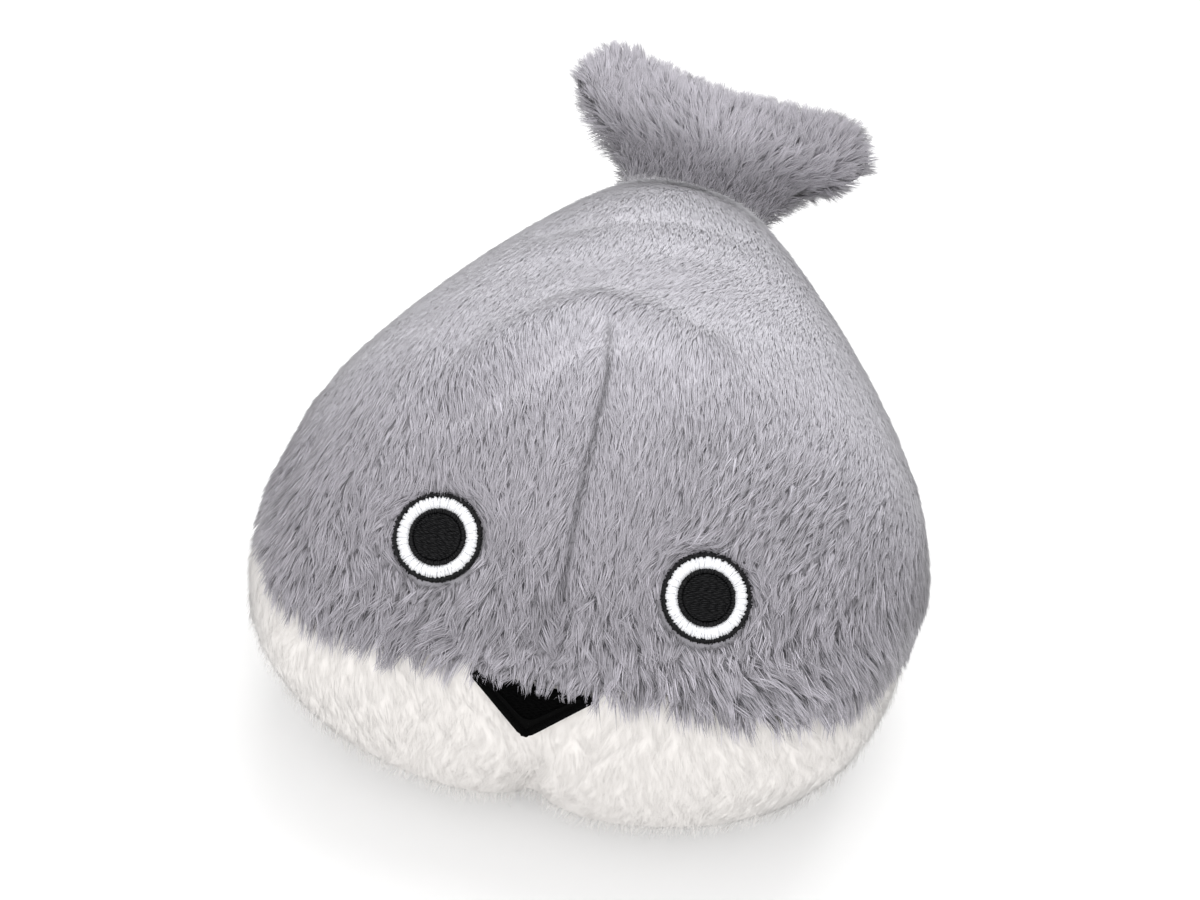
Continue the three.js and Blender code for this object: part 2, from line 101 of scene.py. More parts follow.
# Shader maths: a socket that takes Python operators
class Wire:
    def __init__(self, tree, socket):
        self.tree = tree
        self.socket = socket

    def node(self, kind, settings=None, **links):
        made = self.tree.nodes.new(kind)
        for key, value in (settings or {}).items():
            setattr(made, key, value)
        for key, value in links.items():
            place = int(key[1:]) if key[0] == "i" and key[1:].isdigit() else key.replace("_", " ")
            if isinstance(value, Wire):
                self.tree.links.new(value.socket, made.inputs[place])
            else:
                made.inputs[place].default_value = value
        return made

    def out(self, made, name=0):
        return Wire(self.tree, made.outputs[name])

    def maths(self, operation, a, b):
        return self.out(self.node("ShaderNodeMath", {"operation": operation}, i0=a, i1=b))

    def __add__(self, other):
        return self.maths("ADD", self, other)

    def __radd__(self, other):
        return self.maths("ADD", other, self)

    def __mul__(self, other):
        return self.maths("MULTIPLY", self, other)

    # From one colour to another, with this value as the share
    def tint(self, a, b):
        return self.out(self.node("ShaderNodeMix", {"data_type": "RGBA"}, i0=self, i6=a, i7=b), 2)

    # This colour times another
    def times(self, colour):
        settings = {"data_type": "RGBA", "blend_type": "MULTIPLY"}
        return self.out(self.node("ShaderNodeMix", settings, i0=1.0, i6=self, i7=colour), 2)


def newMaterial(name, **constants):
    material = bpy.data.materials.new(name)
    material.use_nodes = True
    shader = next(n for n in material.node_tree.nodes if n.type == "BSDF_PRINCIPLED")
    for key, value in constants.items():
        shader.inputs[key.replace("_", " ")].default_value = value
    return material, shader, Wire(material.node_tree, None)


def link(wire, shader, name):
    wire.tree.links.new(wire.socket, shader.inputs[name])


def noise(maker, scale, detail=3.0, stretch=None):
    place = maker.out(maker.node("ShaderNodeTexCoord"), "Object")
    if stretch:
        place = maker.out(maker.node("ShaderNodeMapping", None, Vector=place, Scale=stretch))
    return maker.out(maker.node("ShaderNodeTexNoise", None, Vector=place, Scale=scale, Detail=detail), 0)


# Pile: the strands' colours, which carry painted shade at their roots and a painted highlight at their tips,
# with faint patches and grain (scale, detail and share)
pileLook = {
    "shader": {"Roughness": 0.62, "Sheen_Weight": 0.45, "Sheen_Roughness": 0.5, "Specular_IOR_Level": 0.25},
    "shade": 0.9, "patches": (55.0, 3.0, 0.12), "grain": (900.0, 2.0, 0.08),
}


def pileMaterial(name):
    material, shader, maker = newMaterial(name, **pileLook["shader"])
    strand = maker.out(maker.node("ShaderNodeAttribute", {"attribute_name": "pileColour"}), "Color")
    shade = pileLook["shade"]
    for key in ("patches", "grain"):
        scale, detail, share = pileLook[key]
        shade = shade + noise(maker, scale, detail) * share
    shadeColour = maker.out(maker.node("ShaderNodeCombineColor", None, i0=shade, i1=shade, i2=shade))
    link(strand.times(shadeColour), shader, "Base Color")
    return material


# Fabrics: a fine and a broad noise (scale, detail and stretch), and the shares that the two have in the
# tint, in the roughness and in the bump. The plush is the white ground, with fibres that run down
fabrics = {
    "cloth": {
        "sheen": (0.3, 0.5), "shine": 0.2, "fine": (1400.0, 2.0), "broad": (70.0, 3.0), "dark": 0.86,
        "tint": (0.6, 0.4), "rough": 0.8, "rougher": (0.0, 0.15), "bump": (1.0, 0.0),
        "raised": (0.4, 0.3 * mm),
    },
    "plush": {
        "sheen": (0.35, 0.6), "shine": 0.15, "fine": (1100.0, 3.0, (1.0, 1.0, 0.22)),
        "broad": (210.0, 2.0, (1.0, 1.0, 0.6)), "dark": 0.97, "tint": (0.5, 0.5), "rough": 0.82,
        "rougher": (0.12, 0.0), "bump": (0.3, 0.7), "raised": (0.13, 1.0 * mm),
    },
    "thread": {
        "sheen": (0.0, 0.5), "shine": 0.16, "fine": (2600.0, 2.0), "broad": (260.0, 3.0), "dark": 0.75,
        "tint": (0.5, 0.5), "rough": 0.5, "rougher": (0.2, 0.0), "bump": (1.0, 0.0),
        "raised": (0.35, 0.1 * mm),
    },
    "felt": {
        "sheen": (0.25, 0.5), "shine": 0.15, "fine": (900.0, 5.0), "broad": (220.0, 5.0), "dark": 0.6,
        "tint": (1.0, 0.0), "rough": 0.85, "rougher": (0.12, 0.0), "bump": (1.0, 0.0),
        "raised": (0.6, 0.4 * mm),
    },
}


def fabricMaterial(name, kind, colour, **changes):
    look = {**fabrics[kind], **changes}
    weight, spread = look["sheen"]
    material, shader, maker = newMaterial(
        name, Sheen_Weight=weight, Sheen_Roughness=spread, Specular_IOR_Level=look["shine"])
    fine, broad = noise(maker, *look["fine"]), noise(maker, *look["broad"])
    shares = (look[key] for key in ("tint", "rougher", "bump"))
    tint, rougher, height = (fine * a + broad * b for a, b in shares)
    darker = tuple(look["dark"] * c for c in colour)
    link(tint.tint((*darker, 1.0), (*colour, 1.0)), shader, "Base Color")
    link(look["rough"] + rougher, shader, "Roughness")
    strength, depth = look["raised"]
    made = maker.node("ShaderNodeBump", None, Height=height, Strength=strength, Distance=depth)
    link(maker.out(made), shader, "Normal")
    return material


greyPile = pileMaterial("grey_pile_strands")
whitePile = pileMaterial("white_pile_strands")
greyCloth = fabricMaterial("grey_backing", "cloth", (0.5, 0.485, 0.525))
whiteCloth = fabricMaterial("white_plush", "plush", (0.775, 0.744, 0.718))
finCloth = fabricMaterial("fin_backing", "cloth", (0.3, 0.29, 0.315))
blackThread = fabricMaterial("black_embroidery", "thread", (0.004, 0.004, 0.005), rough=0.4, shine=0.22)
mouthThread = fabricMaterial(
    "black_mouth_embroidery", "thread", (0.002, 0.002, 0.002), rough=0.75, shine=0.03)
whiteThread = fabricMaterial("white_embroidery", "thread", (0.97, 0.975, 1.0))
sewingThread = fabricMaterial("sewing_thread_grey", "thread", (0.16, 0.155, 0.17), rough=0.55)
blackFelt = fabricMaterial("black_felt_pad", "felt", (0.014, 0.014, 0.016))
fibreFill = fabricMaterial("fibre_fill_wool", "felt", (0.88, 0.88, 0.87), fine=(220.0, 5.0))
print("finishes made")


# Object helpers
def only(obj):
    bpy.ops.object.select_all(action="DESELECT")
    obj.select_set(True)
    bpy.context.view_layer.objects.active = obj


def finishWith(obj, kind, **settings):
    only(obj)
    modifier = obj.modifiers.new(kind.lower(), kind)
    for key, value in settings.items():
        setattr(modifier, key, value)
    bpy.ops.object.modifier_apply(modifier=modifier.name)


# A copy that is free of what the frame says about its source
def copyOf(source, name):
    obj = source.copy()
    obj.data = source.data.copy()
    obj.name = obj.data.name = name
    obj.parent = None
    for key in [key for key in obj.keys() if key.startswith("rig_")]:
        del obj[key]
    scene.collection.objects.link(obj)
    obj.data.materials.clear()
    return obj


def nodeCopy(nodeName, name):
    obj = copyOf(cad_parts[nodeName], name)
    only(obj)
    bpy.ops.object.mode_set(mode="EDIT")
    bpy.ops.mesh.select_all(action="SELECT")
    bpy.ops.mesh.remove_doubles(threshold=1e-5)
    bpy.ops.object.mode_set(mode="OBJECT")
    return obj


# A piece of the CAD that is shown as it is, with a finish
def coat(nodeName, material):
    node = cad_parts[nodeName]
    node.data.materials.clear()
    node.data.materials.append(material)


# Three numbers of each point or triangle, as rows
def rowsOf(items, key, kind=float):
    rows = np.empty(len(items) * 3, kind)
    items.foreach_get(key, rows)
    return rows.reshape(-1, 3)


def pointsOf(obj):
    return rowsOf(obj.data.vertices, "co")


def setPoints(obj, points):
    obj.data.vertices.foreach_set("co", np.ascontiguousarray(points, float).ravel())
    obj.data.update()


def normalsOf(obj):
    return rowsOf(obj.data.vertices, "normal")


def trianglesOf(obj):
    obj.data.calc_loop_triangles()
    return rowsOf(obj.data.loop_triangles, "vertices", int)


def meshFrom(name, points, triangles, material):
    mesh = bpy.data.meshes.new(name)
    mesh.vertices.add(len(points))
    mesh.vertices.foreach_set("co", np.ascontiguousarray(points, float).ravel())
    mesh.loops.add(len(triangles) * 3)
    mesh.loops.foreach_set("vertex_index", np.ascontiguousarray(triangles, int).ravel())
    mesh.polygons.add(len(triangles))
    mesh.polygons.foreach_set("loop_start", np.arange(0, len(triangles) * 3, 3))
    mesh.polygons.foreach_set("use_smooth", np.ones(len(triangles), bool))
    mesh.update(calc_edges=True)
    mesh.materials.append(material)
    obj = bpy.data.objects.new(name, mesh)
    scene.collection.objects.link(obj)
    return obj


def joined(name, pieces):
    bpy.ops.object.select_all(action="DESELECT")
    for piece in pieces:
        piece.select_set(True)
    bpy.context.view_layer.objects.active = pieces[0]
    bpy.ops.object.join()
    pieces[0].name = pieces[0].data.name = name
    return pieces[0]


def smoothShade(obj):
    only(obj)
    bpy.ops.object.shade_smooth_by_angle(angle=math.radians(60.0))


# A closed shape modelled once, to be copied along curves: Z is the share of the way along
def shapeOnce(sides, rings):
    bpy.ops.object.select_all(action="DESELECT")
    bpy.ops.mesh.primitive_circle_add(vertices=sides, radius=1.0, enter_editmode=True)
    shape = bpy.context.object
    bpy.ops.transform.translate(value=(0, 0, rings[0][0]))
    bpy.ops.transform.resize(value=(rings[0][1], rings[0][1], 1), center_override=(0, 0, rings[0][0]))
    for (low, before), (high, width) in zip(rings[:-1], rings[1:]):
        bpy.ops.mesh.extrude_region_move(TRANSFORM_OT_translate={"value": (0, 0, high - low)})
        bpy.ops.transform.resize(value=(width / before, width / before, 1), center_override=(0, 0, high))
    bpy.ops.mesh.extrude_region_move(TRANSFORM_OT_translate={"value": (0, 0, 1 - rings[-1][0])})
    bpy.ops.mesh.merge(type="CENTER")
    bpy.ops.object.mode_set(mode="OBJECT")
    for vertex in shape.data.vertices:
        vertex.select = abs(vertex.co.z - rings[0][0]) < 1e-4
    for edge in shape.data.edges:
        edge.select = all(shape.data.vertices[i].select for i in edge.vertices)
    bpy.ops.object.mode_set(mode="EDIT")
    bpy.ops.mesh.extrude_region_move(TRANSFORM_OT_translate={"value": (0, 0, -rings[0][0])})
    bpy.ops.mesh.merge(type="CENTER")
    bpy.ops.mesh.select_all(action="SELECT")
    bpy.ops.mesh.quads_convert_to_tris()
    bpy.ops.mesh.normals_make_consistent(inside=False)
    bpy.ops.object.mode_set(mode="OBJECT")
    points, triangles = pointsOf(shape), trianglesOf(shape)
    bpy.data.objects.remove(shape)
    return points, triangles


strandShape = shapeOnce(3, [(0.38, 1.0)])
stitchShape = shapeOnce(4, [(0.06, 0.8), (0.5, 1.0), (0.94, 0.8)])
print("strand and stitch modelled:", len(strandShape[1]), "and", len(stitchShape[1]), "triangles")


# Copies of a shape along many curves, each given by its start, control and end points
def layAlong(shape, start, control, end, side, radius):
    points, triangles = shape
    count, corners = len(start), len(points)
    laid = np.empty((count, corners, 3))
    for corner, (across, rise, share) in enumerate(points):
        place = start * (1 - share) ** 2 + control * (2 * share * (1 - share)) + end * share ** 2
        along = unit((control - start) * (1 - share) + (end - control) * share)
        over = np.cross(along, side)
        laid[:, corner] = place + (side * across + over * rise) * radius[:, None]
    faces = triangles[None] + (np.arange(count) * corners)[:, None, None]
    return laid.reshape(-1, 3), faces.reshape(-1, 3)


# One cell of the baking map for each copy
def cellMap(obj, shape, count):
    points, triangles = shape
    cells = int(math.ceil(math.sqrt(count)))
    place = np.arange(count)
    column, row = place % cells, place // cells
    u = (column[:, None] + 0.5 + 0.38 * points[None, :, 0]) / cells
    v = (row[:, None] + 0.12 + 0.76 * points[None, :, 2]) / cells
    corners = np.stack([u, v], -1)[:, triangles.ravel()]
    layer = obj.data.uv_layers.new(name="OFBake")
    layer.data.foreach_set("uv", np.ascontiguousarray(corners, np.float32).ravel())


# The seam between grey and white in side view, as sewn in the CAD: distance along and height
seam = {
    "points": [(-152.79, 63.5), (-122.79, 63.5), (-90.79, 58), (-56.79, 44), (-23.79, 27), (9.21, 27),
               (42.21, 44.15), (75.21, 61.3), (105.21, 71.3)],
    "steps": 24, "cloth": 1.2 * mm, "sagRight": 3.2 * mm, "sagLeft": 1.6 * mm,
}


def seamCurve():
    knots = np.array(seam["points"]) * mm
    line = []
    for index in range(1, len(knots) - 2):
        a, b, c, d = knots[index - 1:index + 3]
        for share in np.linspace(0, 1, seam["steps"], endpoint=False):
            line.append(0.5 * (2 * b + (c - a) * share + (2 * a - 5 * b + 4 * c - d) * share ** 2
                               + (3 * b - a - 3 * c + d) * share ** 3))
    return np.array(line + [knots[-2]])


seamLine = seamCurve()


def seamHeight(y):
    return np.interp(y, seamLine[:, 0], seamLine[:, 1])


# The grey sags a little over the white on the cheeks, more on the toy's right
def seamAt(x, y):
    cheek = ease(0.016, 0.046, np.abs(x)) * ease(0.08, 0.066, np.abs(x)) * ease(-0.085, -0.1, y)
    return seamHeight(y) - cheek * np.where(x < 0, seam["sagRight"], seam["sagLeft"])


# How near to the lip or to the seam a place on the body is, from 0 to 1
def lipNearness(points):
    x, y, z = points.T
    front = ease(-0.055, -0.085, y)
    above = (z - seamAt(x, y)) / mm
    inFront = front * mix(0.25, 1.0, ease(0.072, 0.045, np.abs(x)))
    return ease(34, 6, above) * mix(0.35, 1.0, inFront), front, above


# Body fill: the stuffing's form, swollen by pressure, raised under the eyes and the mouth
fill = {
    "voxel": 0.0034, "smooth": 3, "pressure": 4.0, "frames": 20, "grow": 2.4 * mm, "cap": 1.8 * mm,
    "frameRest": 1, "carry": 60, "soften": 12, "backPile": 0.7 * mm, "facePile": 1.7 * mm,
    "lipPile": 3.4 * mm, "bellyPile": 0.2 * mm, "floorGap": 0.6 * mm, "quickShare": 0.85,
}


def swell(obj, cap):
    start = pointsOf(obj)
    cloth = obj.modifiers.new("pressure", "CLOTH")
    cloth.settings.use_pressure = True
    cloth.settings.uniform_pressure_force = fill["pressure"]
    cloth.settings.effector_weights.gravity = 0.0
    cloth.point_cache.frame_end = fill["frames"]
    for step in range(1, fill["frames"] + 1):
        scene.frame_set(step)
    swollen = obj.evaluated_get(bpy.context.evaluated_depsgraph_get())
    end = pointsOf(swollen)
    obj.modifiers.remove(cloth)
    scene.frame_set(fill["frameRest"])
    move = end - start
    reach = np.linalg.norm(move, axis=1, keepdims=True)
    setPoints(obj, start + move * np.minimum(1.0, cap / np.maximum(reach, 1e-9)))


def stuffed(nodeName, name, look):
    obj = nodeCopy(nodeName, name)
    finishWith(obj, "REMESH", mode="VOXEL", voxel_size=look["voxel"])
    finishWith(obj, "SMOOTH", factor=0.5, iterations=look["smooth"])
    setPoints(obj, pointsOf(obj) + normalsOf(obj) * look["grow"])
    swell(obj, look["cap"])
    finishWith(obj, "SMOOTH", factor=0.5, iterations=4)
    return obj


# Distance from each point of a piece to the outside of the panels, along its normal
def panelGap(obj, nodeNames):
    points, faces, start = [], [], 0
    for nodeName in nodeNames:
        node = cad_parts[nodeName]
        points.append(pointsOf(node))
        faces.append(trianglesOf(node) + start)
        start += len(points[-1])
    shell = BVHTree.FromPolygons(np.vstack(points).tolist(), np.vstack(faces).tolist())
    reach = 25 * mm
    gaps = np.full(len(obj.data.vertices), np.nan)
    for index, (place, normal) in enumerate(zip(pointsOf(obj), normalsOf(obj))):
        hit = shell.ray_cast(Vector(place + normal * reach), Vector(-normal), 2 * reach)
        if hit[0] is not None:
            gaps[index] = reach - hit[3]
    return gaps


# The fill's broad form is set so that cloth and pile together reach the panels' outside
def fitUnder(obj, nodeNames, depth, skip):
    gaps = panelGap(obj, nodeNames) - depth
    known = ~np.isnan(gaps) & ~skip & (np.abs(gaps) < 9 * mm)
    edges = np.empty(len(obj.data.edges) * 2, int)
    obj.data.edges.foreach_get("vertices", edges)
    a, b = edges.reshape(-1, 2).T
    links = np.bincount(np.concatenate([a, b]), minlength=len(gaps))

    def around(values):
        return (np.bincount(a, values[b], len(gaps)) + np.bincount(b, values[a], len(gaps))) / links

    field = np.where(known, gaps, np.nanmean(gaps[known]))
    for step in range(fill["carry"]):
        field = np.where(known, field, around(field))
    for step in range(fill["soften"]):
        field = 0.5 * field + 0.5 * around(field)
    setPoints(obj, pointsOf(obj) + normalsOf(obj) * field[:, None])


# A seat: its middle, two directions across it and the way that it faces
class Seat:
    def __init__(self, origin, side, up, out):
        self.origin, self.side, self.up, self.out = origin, side, up, out

    def local(self, points):
        away = points - self.origin
        return np.stack([away @ self.side, away @ self.up, away @ self.out], -1)

    def world(self, local):
        across, rise, depth = np.split(np.asarray(local, float), 3, axis=-1)
        return self.origin + across * self.side + rise * self.up + depth * self.out


eye = {
    "radius": 10.8 * mm, "padMiddle": -2.4 * mm, "padLow": -2.9 * mm, "stitchLow": -1.6 * mm,
    "pupil": 5.6 * mm, "pupilHeight": 0.7 * mm, "pitch": 0.46 * mm, "overlap": 0.3 * mm, "stitch": 0.4 * mm,
}


# Eye seats, from the pads of the CAD
def eyeSeat(side):
    points = pointsOf(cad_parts["eye_pad_" + side])
    middle = points.mean(0)
    spread = np.linalg.eigh(np.cov((points - middle).T))[1]
    out = spread[:, 0] * np.sign(spread[2, 0])
    across = unit(np.cross([0, 0, 1.0], out))
    return Seat(middle - out * eye["padMiddle"], across, np.cross(out, across), out)


eyeSeats = {side: eyeSeat(side) for side in ("left", "right")}

# Mouth seat: a triangle that faces forwards, its top edge along the lip
mouth = {
    "width": 31 * mm, "height": 18 * mm, "patchHigh": -1.7 * mm, "patchLow": -2.7 * mm, "pitch": 0.42 * mm,
    "border": 2.0 * mm, "borderLow": -1.4 * mm, "borderPitch": 0.4 * mm, "borderStitch": 0.5 * mm,
    "inset": 0.5 * mm, "satin": (-1.3 * mm, 0.5 * mm), "seed": 70,
}
mouthLow, mouthHigh = (np.array(corner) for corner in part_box("mouth_patch"))
mouthSeat = Seat(
    np.array([(mouthLow[0] + mouthHigh[0]) / 2, mouthLow[1] + mouth["patchHigh"], mouthHigh[2] + 0.3 * mm]),
    np.array([1.0, 0, 0]), np.array([0, 0, 1.0]), np.array([0, -1.0, 0]))
mouthCorners = np.array([[-mouth["width"] / 2, 0.0], [0.0, -mouth["height"]], [mouth["width"] / 2, 0.0]])


def triangleDistance(points):
    edges = np.roll(mouthCorners, -1, 0) - mouthCorners
    normals = unit(np.stack([edges[:, 1], -edges[:, 0]], -1))
    middle = mouthCorners.mean(0)
    normals *= np.sign(((mouthCorners - middle) * normals).sum(-1))[:, None]
    return np.max([(points - corner) @ normal for corner, normal in zip(mouthCorners, normals)], axis=0)


def eyeDistance(points, side):
    local = eyeSeats[side].local(points)
    away = np.hypot(local[:, 0], local[:, 1]) - eye["radius"]
    return np.where(np.abs(local[:, 2]) < 20 * mm, away, 1.0), local


def mouthDistance(points):
    local = mouthSeat.local(points)
    return np.where(np.abs(local[:, 2]) < 18 * mm, triangleDistance(local[:, :2]), 1.0), local


seatLift = {"reach": 5.5 * mm, "edge": 0.8 * mm, "under": 1.9 * mm}


def raiseSeats(points):
    def raiseSeat(points, seat, distance, low):
        away, local = distance
        weight = ease(seatLift["reach"], seatLift["edge"], away)
        local[:, 2] = mix(local[:, 2], low - seatLift["under"], weight)
        return np.where(weight[:, None] > 0, seat.world(local), points)

    for side, seat in eyeSeats.items():
        points = raiseSeat(points, seat, eyeDistance(points, side), eye["padLow"])
    return raiseSeat(points, mouthSeat, mouthDistance(points), mouth["patchLow"])


# Sewn and lying creases, where the photograph has them: a half width, a rise and a path, all in millimetres
creases = {
    "faceDart": (2.0, -1.8, [
        (-8.4, -36, 108.8), (-5.4, -56.1, 109), (-5.1, -68.1, 102.7), (-4.7, -79.4, 95.5),
        (-4.6, -90.1, 87.8), (-4.2, -98.8, 81.1), (-3.7, -105.4, 75.9), (-2.2, -114.9, 68.8),
        (-2.4, -121.8, 62)]),
    "brow": (7.5, 2.2, [
        (-38, -61.2, 100.9), (-32.7, -53, 104.4), (-25.1, -42.1, 106.4), (-12.1, -31.7, 107.6),
        (0.8, -33.9, 109), (14.5, -40.3, 109.1)]),
    "underBrow": (6.0, -1.9, [(-38, -70, 98), (-27, -60, 103), (-16, -50, 107), (-8, -47, 109)]),
    "cheekFold": (4.0, -1.5, [
        (-74.5, -70.6, 75.5), (-77, -75.9, 72.1), (-80.3, -82.3, 67.3), (-83.5, -83.9, 58.9)]),
    "rearFold": (8.5, -0.9, [(-29.8, 15.7, 91), (-14.9, 20.5, 94.8), (0.2, 28.2, 94.2), (13.9, 30.4, 91.8)]),
    "backFold": (8.5, -0.6, [
        (-30.6, -11.4, 99), (-16.7, -2.8, 100.8), (0.4, 5.7, 100.7), (19.1, 8.1, 97.7), (29.6, 0.9, 96.8)]),
    "chinDart": (5.5, -1.8, [(-5.3, -121.1, 43.5), (-3.7, -118.1, 30.5), (-2.4, -114.1, 16.3), (-3, -96, 4)]),
}


def pathDistance(points, path):
    corners = np.array(path) * mm
    best = np.full(len(points), 1.0)
    for a, b in zip(corners[:-1], corners[1:]):
        share = np.clip(((points - a) @ (b - a)) / ((b - a) @ (b - a)), 0, 1)
        best = np.minimum(best, np.linalg.norm(points - a - share[:, None] * (b - a), axis=1))
    return best


# How far to one side of the face dart a point lies, and how much of the dart is there
def besideDart(points):
    knots = np.array(creases["faceDart"][2])[::-1] * mm
    share = ease(-0.032, -0.048, points[:, 1]) * mix(0.3, 1.0, ease(-0.106, -0.084, points[:, 1]))
    return points[:, 0] - np.interp(points[:, 1], knots[:, 1], knots[:, 0]), share


def pressCreases(points, normals):
    moved = points.copy()
    for width, rise, path in creases.values():
        # The paths lie on the pile's outside, so nearness is measured in the plane of the surface
        away = pathDistance(points + normals * 3.2 * mm, path) / mm
        moved += normals * (rise * mm * np.exp(-(away / width) ** 2))[:, None]
    return moved


def fitBody(obj):
    points = pointsOf(obj)
    low, _, above = lipNearness(points)
    grey = ease(-4, 4, above)
    white = mix(fill["bellyPile"], fill["lipPile"], ease(-12, 0, above))
    upper = mix(fill["facePile"], fill["backPile"], ease(-0.075, -0.035, points[:, 1]))
    depth = seam["cloth"] + mix(white, mix(upper, fill["lipPile"], low), grey)
    skip = (mouthDistance(points)[0] < 3 * mm) | (pathDistance(points, creases["chinDart"][2]) < 13 * mm)
    for side in ("left", "right"):
        skip |= eyeDistance(points, side)[0] < 3 * mm
    fitUnder(obj, ("back_panel", "belly_panel"), depth, skip)


# The fill in its wool, in place of the CAD's
def finishFill(obj, body, node):
    obj.data.materials.append(fibreFill)
    smoothShade(obj)
    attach(obj, body)
    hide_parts(node)


bodyFill = stuffed("body_stuffing", "body_fill", fill)
fitBody(bodyFill)
finishWith(bodyFill, "SUBSURF", levels=1, render_levels=1)
setPoints(bodyFill, pressCreases(pointsOf(bodyFill), normalsOf(bodyFill)))
setPoints(bodyFill, raiseSeats(pointsOf(bodyFill)))
# The cloth of the belly rests on the floor and goes no lower
resting = pointsOf(bodyFill)
resting[:, 2] = np.maximum(resting[:, 2], seam["cloth"] + fill["floorGap"])
setPoints(bodyFill, resting)
finishFill(bodyFill, "body", "body_stuffing")
print("body fill swollen:", len(bodyFill.data.vertices), "points")


# Backing cloth of the back and the belly, laid over the fill and parted at the seam
def clothOver(source, name, keep, material, body, node):
    obj = copyOf(source, name)
    obj.data.materials.append(material)
    only(obj)
    for polygon in obj.data.polygons:
        polygon.select = not keep(polygon.center)
    bpy.ops.object.mode_set(mode="EDIT")
    bpy.ops.mesh.select_mode(type="FACE")
    bpy.ops.mesh.delete(type="FACE")
    bpy.ops.mesh.select_mode(type="VERT")
    bpy.ops.object.mode_set(mode="OBJECT")
    skin = (pointsOf(obj) + normalsOf(obj) * seam["cloth"], trianglesOf(obj))
    finishWith(obj, "SOLIDIFY", thickness=seam["cloth"], offset=1.0)
    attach(obj, body)
    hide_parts(node)
    return skin


def aboveSeam(centre):
    across, rise, depth = mouthSeat.local(np.array(centre))
    overMouth = abs(across) < mouth["width"] / 2 and rise > -0.5 * mm and depth > -15 * mm
    return overMouth or centre.z >= seamAt(centre.x, centre.y)


def belowSeam(centre):
    return not aboveSeam(centre)


backSkin = clothOver(bodyFill, "back_cloth", aboveSeam, greyCloth, "body", "back_panel")
bellySkin = clothOver(bodyFill, "belly_cloth", belowSeam, whiteCloth, "body", "belly_panel")
print("backing cloth laid:", len(backSkin[1]), len(bellySkin[1]))


def spreadRoots(skin, perSquareMm, rng, weight=None):
    density = perSquareMm * 1.0
    points, triangles = skin
    a, b, c = (points[triangles[:, i]] for i in range(3))
    facing = np.cross(b - a, c - a)
    area = np.linalg.norm(facing, axis=1) / 2
    wanted = area * (weight((a + b + c) / 3) if weight else 1.0)
    total = int(wanted.sum() * density / mm ** 2)
    steps = (np.arange(total) + rng.random(total)) / total
    chosen = np.searchsorted(np.cumsum(wanted) / wanted.sum(), steps).clip(0, len(triangles) - 1)
    u, v = rng.random(total), rng.random(total)
    fold = u + v > 1
    u[fold], v[fold] = 1 - u[fold], 1 - v[fold]
    roots = a[chosen] + (b - a)[chosen] * u[:, None] + (c - a)[chosen] * v[:, None]
    # Normals are smoothed over the skin's points
    soft = np.zeros_like(points)
    for corner in range(3):
        np.add.at(soft, triangles[:, corner], facing)
    soft = unit(soft)
    na, nb, nc = (soft[triangles[chosen, i]] for i in range(3))
    normals = unit(na + (nb - na) * u[:, None] + (nc - na) * v[:, None])
    return roots, normals


# The nap turns this way and that, in a few waves of about the given size
waveCount = 5


def swirled(nap, normals, roots, amount, size, rng):
    total = np.zeros(len(roots))
    for step in range(waveCount):
        direction = unit(rng.normal(size=3))
        pace = 2 * math.pi / size * rng.uniform(0.7, 1.4)
        total += np.sin(roots @ direction * pace + rng.uniform(0, 6.28))
    turn = amount * total / math.sqrt(waveCount / 2)
    return unit(nap + np.cross(normals, nap) * turn[:, None])


def nearestLock(roots, centres):
    tree = KDTree(len(centres))
    for index, place in enumerate(centres):
        tree.insert(place, index)
    tree.balance()
    return np.array([tree.find(root)[1] for root in roots])


# How much single strands differ from the look of their piece, and how far locks draw them together
strands = {
    "turn": 0.4, "length": 0.14, "rise": 0.2, "settle": 0.3, "wobble": 0.03, "clump": 0.15, "radius": 0.2,
    "mostDrawn": 0.9, "lockSpread": 0.15, "lockPull": 0.2, "floorGap": 0.15 * mm, "tipCurve": 0.8,
    "brightest": 0.95,
}


